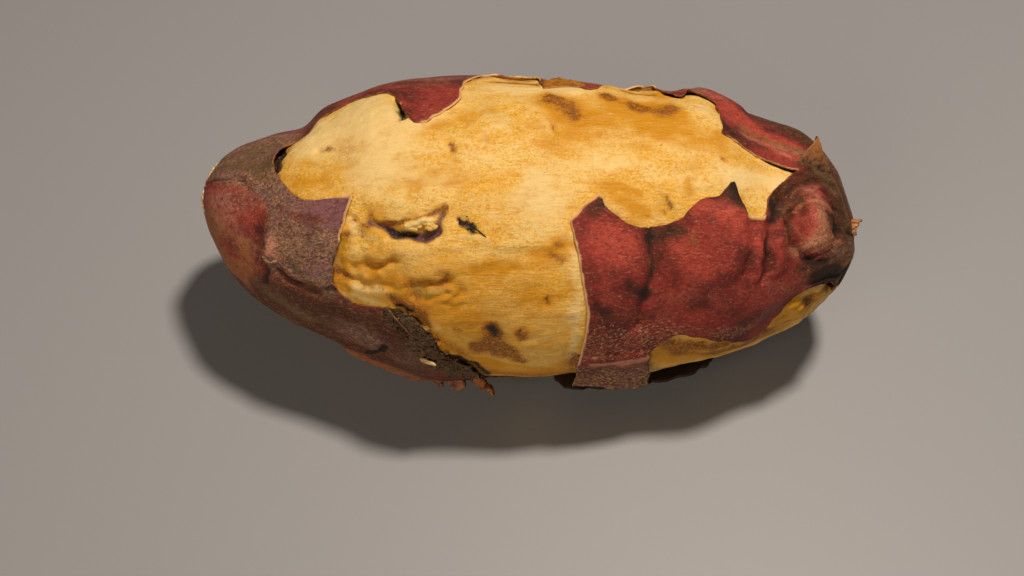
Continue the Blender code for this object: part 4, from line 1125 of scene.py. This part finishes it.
def makeFlap(name, own, seed):
    # a strip that runs from its foot along its heading, narrows by its taper and bends up off
    # the surface: height grows with the sine of the lift, plus a ridge and some waves
    form = flapForm
    steps, lanes = [max(6, round(own[way] / form["cell"])) for way in ("length", "width")]
    along, side = np.meshgrid(np.linspace(0, 1, steps), np.linspace(-0.5, 0.5, lanes),
                              indexing="ij")
    along, side = along.reshape(-1), side.reshape(-1)
    zero = np.zeros(len(along))
    tipNoise = roughNoise(np.stack([own["width"] * side, zero, zero], -1),
                          *form["tipNoise"], seed)
    apart = form["sidesApart"] * np.sign(side)
    sideNoise = roughNoise(np.stack([own["length"] * along, apart, zero], -1),
                           *form["sideNoise"], seed + 5)
    reach = own["length"] * along * np.interp(side, *zip(*own["outline"]))
    reach += form["tipRagged"] * own["ragged"] * tipNoise * along
    across = own["width"] * side * (1 - own["taper"] * along) ** own["flare"]
    reach += own["slant"] * across * (1 - form["slantFade"] * along)
    frayed = ramp(np.abs(side), form["sideFrom"], form["sideFrom"]) * np.sign(side)
    across += own["ragged"] * sideNoise * frayed
    footLift, tipLift = own["lift"]
    lift = np.radians(footLift + (tipLift - footLift) * along / 2)  # mean slope from the foot
    turn = math.radians(own["heading"])
    foot = unrolled([own["foot"]])[0]
    onward = reach * np.cos(lift)
    flat = np.stack([foot[0] + onward * math.cos(turn) - across * math.sin(turn),
                     foot[1] + onward * math.sin(turn) + across * math.cos(turn)], -1)
    spots = np.stack([reach, across, zero], -1)
    sideways = spots * (0, 1, 1)
    where, ridge, halfWidth = own["ridge"]
    swaying, size = form["sway"]
    sway = swaying * latticeNoise(sideways, size, seed + 9)
    uneven, size = form["uneven"]
    halfWidth *= (1 + uneven * latticeNoise(sideways, size, seed + 11)
                  - form["ridgeNarrows"] * np.abs(side))
    bell = np.exp(-(((along + sway - np.interp(side, *zip(*where))) / halfWidth) ** 2))
    bell *= ramp(side, -0.5, form["ridgeFade"])
    tall, size = own["waves"]
    height = own["start"] + reach * np.sin(lift) + ridge * bell
    height += tall * along * roughNoise(spots, size, 3, seed + 7)
    i, j = np.meshgrid(np.arange(steps - 1), np.arange(lanes - 1), indexing="ij")
    a = (i * lanes + j).reshape(-1)
    faces = np.stack([a, a + lanes, a + lanes + 1, a + 1], -1)
    masks = {mask: start + (end - start) * along for mask, (start, end) in own["masks"].items()}
    if ridge:
        masks = {mask: values * (1 - bell) for mask, values in masks.items()}
        masks["pink"] = form["ridgePink"] * bell
    piece = makeMesh(name.replace(" ", "_"), onPotato(flat, height), faces, masks, own["faces"])
    giveThickness(piece, own["thickness"])


for number, (name, own) in enumerate(flaps.items()):
    makeFlap(name, own, 100 + 20 * number)
print("loose ends made")

# small lumps: the line they lie along, how many, scatter to the sides, sizes, height above
# the flesh, stretch along X, material, slot and how pale they are
lumpGroups = {
    "charred_crumbs": {
        "line": ((-27, 15), (-23.5, 14.5), (-21.4, 10), (-18.4, -1), (-14.5, -8), (-12, -20)),
        "number": 320, "scatter": 2.8, "sizes": (0.12, 0.34), "height": 0.6,
        "stretch": 1.3, "material": "char", "slot": "skin", "pale": 0.25},
    "torn_flesh": {
        "line": ((-23.8, 52.2), (-22.0, 52.4), (-21.2, 53.4), (-19.2, 53.0)),
        "number": 10, "scatter": 0.6, "sizes": (0.55, 0.85), "height": 0.15,
        "stretch": 1.3, "material": "flesh", "slot": "flesh", "pale": 0.2},
    "dark_spot": {
        "line": ((-14, 54), (-11.4, 51.2)),
        "number": 7, "scatter": 1.8, "sizes": (0.1, 0.24), "height": 0.1,
        "stretch": 1.0, "material": "shaded", "slot": "flesh", "pale": 0.0},
    "stem_scar": {
        "line": ((-68.0, 121), (-69.2, 100), (-69.8, 75), (-70.0, 50), (-70.1, 30)),
        "number": 90, "scatter": 1.0, "sizes": (0.4, 0.9), "height": 0.25,
        "stretch": 0.7, "material": "scar", "slot": "skin", "pale": 0.5},
}
lumpForm = {"rings": 7, "sides": 12, "wide": (0.7, 1.1), "tall": (0.6, 0.8),
            "dents": (0.9, 2), "dentDepth": 0.3, "paleness": (0.3, 1.3)}  # the same for all


def makeLumps(name, own, seed):
    # one small globe of points for each lump, stretched along X and pushed in and out by
    # noise, set at random along the line
    form = lumpForm
    random = np.random.default_rng(seed)
    down = np.linspace(0, math.pi, form["rings"] + 2)[1:-1]
    turn = np.linspace(0, 2 * math.pi, form["sides"], endpoint=False)
    down, turn = [part.reshape(-1) for part in np.meshgrid(down, turn, indexing="ij")]
    globe = np.stack([np.sin(down) * np.cos(turn), np.sin(down) * np.sin(turn), np.cos(down)], -1)
    globe = np.concatenate([globe, [(0, 0, 1), (0, 0, -1)]])
    line = unrolled(own["line"])
    lengths = np.concatenate([[0], np.cumsum(np.linalg.norm(np.diff(line, axis=0), axis=1))])
    spots = random.uniform(0, lengths[-1], own["number"])
    flat = np.stack([np.interp(spots, lengths, line[:, axis]) for axis in (0, 1)], -1)
    flat += random.normal(0, own["scatter"] / 2, flat.shape)
    centres = onPotato(flat, np.full(len(flat), own["height"])) / mm
    sizes = random.uniform(*own["sizes"], own["number"])[:, None, None]
    stretch = (own["stretch"], random.uniform(*form["wide"]), random.uniform(*form["tall"]))
    shapes = globe[None] * sizes * stretch
    where = (shapes + centres[:, None]).reshape(-1, 3)
    push = 1 + form["dentDepth"] * roughNoise(where, *form["dents"], seed)
    points = shapes * push.reshape(len(flat), -1, 1) + centres[:, None]
    starts = (np.arange(len(flat)) * len(globe))[:, None, None]
    faces = (tubeFaces(form["rings"], form["sides"])[None] + starts).reshape(-1, 3)
    pale = np.repeat(own["pale"] * random.uniform(*form["paleness"], len(flat)), len(globe))
    piece = makeMesh(name, points.reshape(-1, 3) * mm, faces, {"pale": pale}, [own["material"]])


for number, (name, own) in enumerate(lumpGroups.items()):
    makeLumps(name, own, 500 + number)

threads = {
    # places with height above the flesh, radius at the foot and at the tip, material
    "root thread": (((-11.8, 52.6, 0.1), (-10.8, 51.2, 0.5), (-9.6, 49.6, 0.5), (-8.4, 47.8, 0.2)),
                    (0.2, 0.07), "shaded"),
    "thin fibre": (((-28.6, 20.5, 0.8), (-26.5, 17, 1.1), (-24.3, 12.5, 1.0), (-23, 9, 0.7)),
                   (0.12, 0.06), "edge"),
}


def makeThread(name, places, radii, material):
    # a thin tube: a ring of points square to the path at each step, with the radius going
    # evenly from foot to tip, closed by a point at each end
    places = np.array(places, dtype=float)
    steps, sides = 24, 8
    at = np.linspace(0, len(places) - 1, steps)
    knots = np.arange(len(places), dtype=float)
    smooth = np.stack([smoothCurve(knots, places[:, axis], at) for axis in range(3)], -1)
    path = onPotato(unrolled(smooth[:, :2]), smooth[:, 2])
    ahead = np.gradient(path, axis=0)
    ahead /= np.linalg.norm(ahead, axis=1, keepdims=True)
    across = np.cross(ahead, (0.0, 0.0, 1.0))
    across /= np.linalg.norm(across, axis=1, keepdims=True)
    above = np.cross(across, ahead)
    radius = np.linspace(*radii, steps)[:, None, None] * mm
    turn = np.linspace(0, 2 * math.pi, sides, endpoint=False)[None, :, None]
    square = np.cos(turn) * across[:, None] + np.sin(turn) * above[:, None]
    rings = path[:, None] + radius * square
    points = np.concatenate([rings.reshape(-1, 3), path[:1], path[-1:]])
    piece = makeMesh(name.replace(" ", "_"), points, tubeFaces(steps, sides)[:, ::-1],
                     {"pale": np.zeros(len(points))}, [material])


for name, thread in threads.items():
    makeThread(name, *thread)
print("lumps and threads made")

stage = {
    "floorColour": "#9d9fa3", "floorSize": 3.0, "floorRoughness": 0.5,
    "keyFrom": (0.13, 0.05, 0.62), "keySize": 0.08, "keyPower": 3.5, "keyColour": "#ffeedd",
    "fillFrom": (-0.5, -0.75, 0.42), "fillSize": 0.7, "fillPower": 3.5, "fillColour": "#ffedd6",
    "worldColour": "#dfdcd4", "worldStrength": 0.035,
    "cameraFrom": (-0.00402, -0.19945, 0.26566), "tiltDown": 52.25, "lens": 50.0,
}


def makeStage():
    # a matt board to lie on
    half = stage["floorSize"] / 2
    mesh = bpy.data.meshes.new("floor")
    mesh.from_pydata([(-half, -half, 0), (half, -half, 0), (half, half, 0), (-half, half, 0)],
                     [], [(0, 1, 2, 3)])
    floor = bpy.data.objects.new("floor", mesh)
    bpy.context.scene.collection.objects.link(floor)
    board = bpy.data.materials.new("pale matt board")
    board.use_nodes = True
    shader = board.node_tree.nodes["Principled BSDF"]
    shader.inputs["Base Color"].default_value = linearFrom(stage["floorColour"])
    shader.inputs["Roughness"].default_value = stage["floorRoughness"]
    mesh.materials.append(board)


def makeLight(name):
    # a round lamp turned to face the middle of the potato
    lamp = bpy.data.lights.new(name, "AREA")
    lamp.shape = "DISK"
    lamp.size = stage[name + "Size"]
    lamp.energy = stage[name + "Power"]
    lamp.color = linearFrom(stage[name + "Colour"])[:3]
    light = bpy.data.objects.new(name, lamp)
    light.location = stage[name + "From"]
    x, y, z = np.array([0, 0, potato["axisHeight"] * mm]) - stage[name + "From"]
    light.rotation_euler = (math.atan2(math.hypot(x, y), -z), 0, math.atan2(x, -y) + math.pi)
    bpy.context.scene.collection.objects.link(light)


def makeCamera():
    lens = bpy.data.cameras.new("camera")
    lens.lens = stage["lens"]
    camera = bpy.data.objects.new("camera", lens)
    camera.location = stage["cameraFrom"]
    camera.rotation_euler = (math.radians(90 - stage["tiltDown"]), 0, 0)
    bpy.context.scene.collection.objects.link(camera)
    bpy.context.scene.camera = camera


makeStage()
makeLight("key")
makeLight("fill")
makeCamera()
world = bpy.data.worlds.new("studio")
world.use_nodes = True
sky = world.node_tree.nodes["Background"]
sky.inputs["Color"].default_value = linearFrom(stage["worldColour"])
sky.inputs["Strength"].default_value = stage["worldStrength"]
bpy.context.scene.world = world
bpy.context.scene.view_settings.view_transform = "Standard"
print("stage, light and camera set")
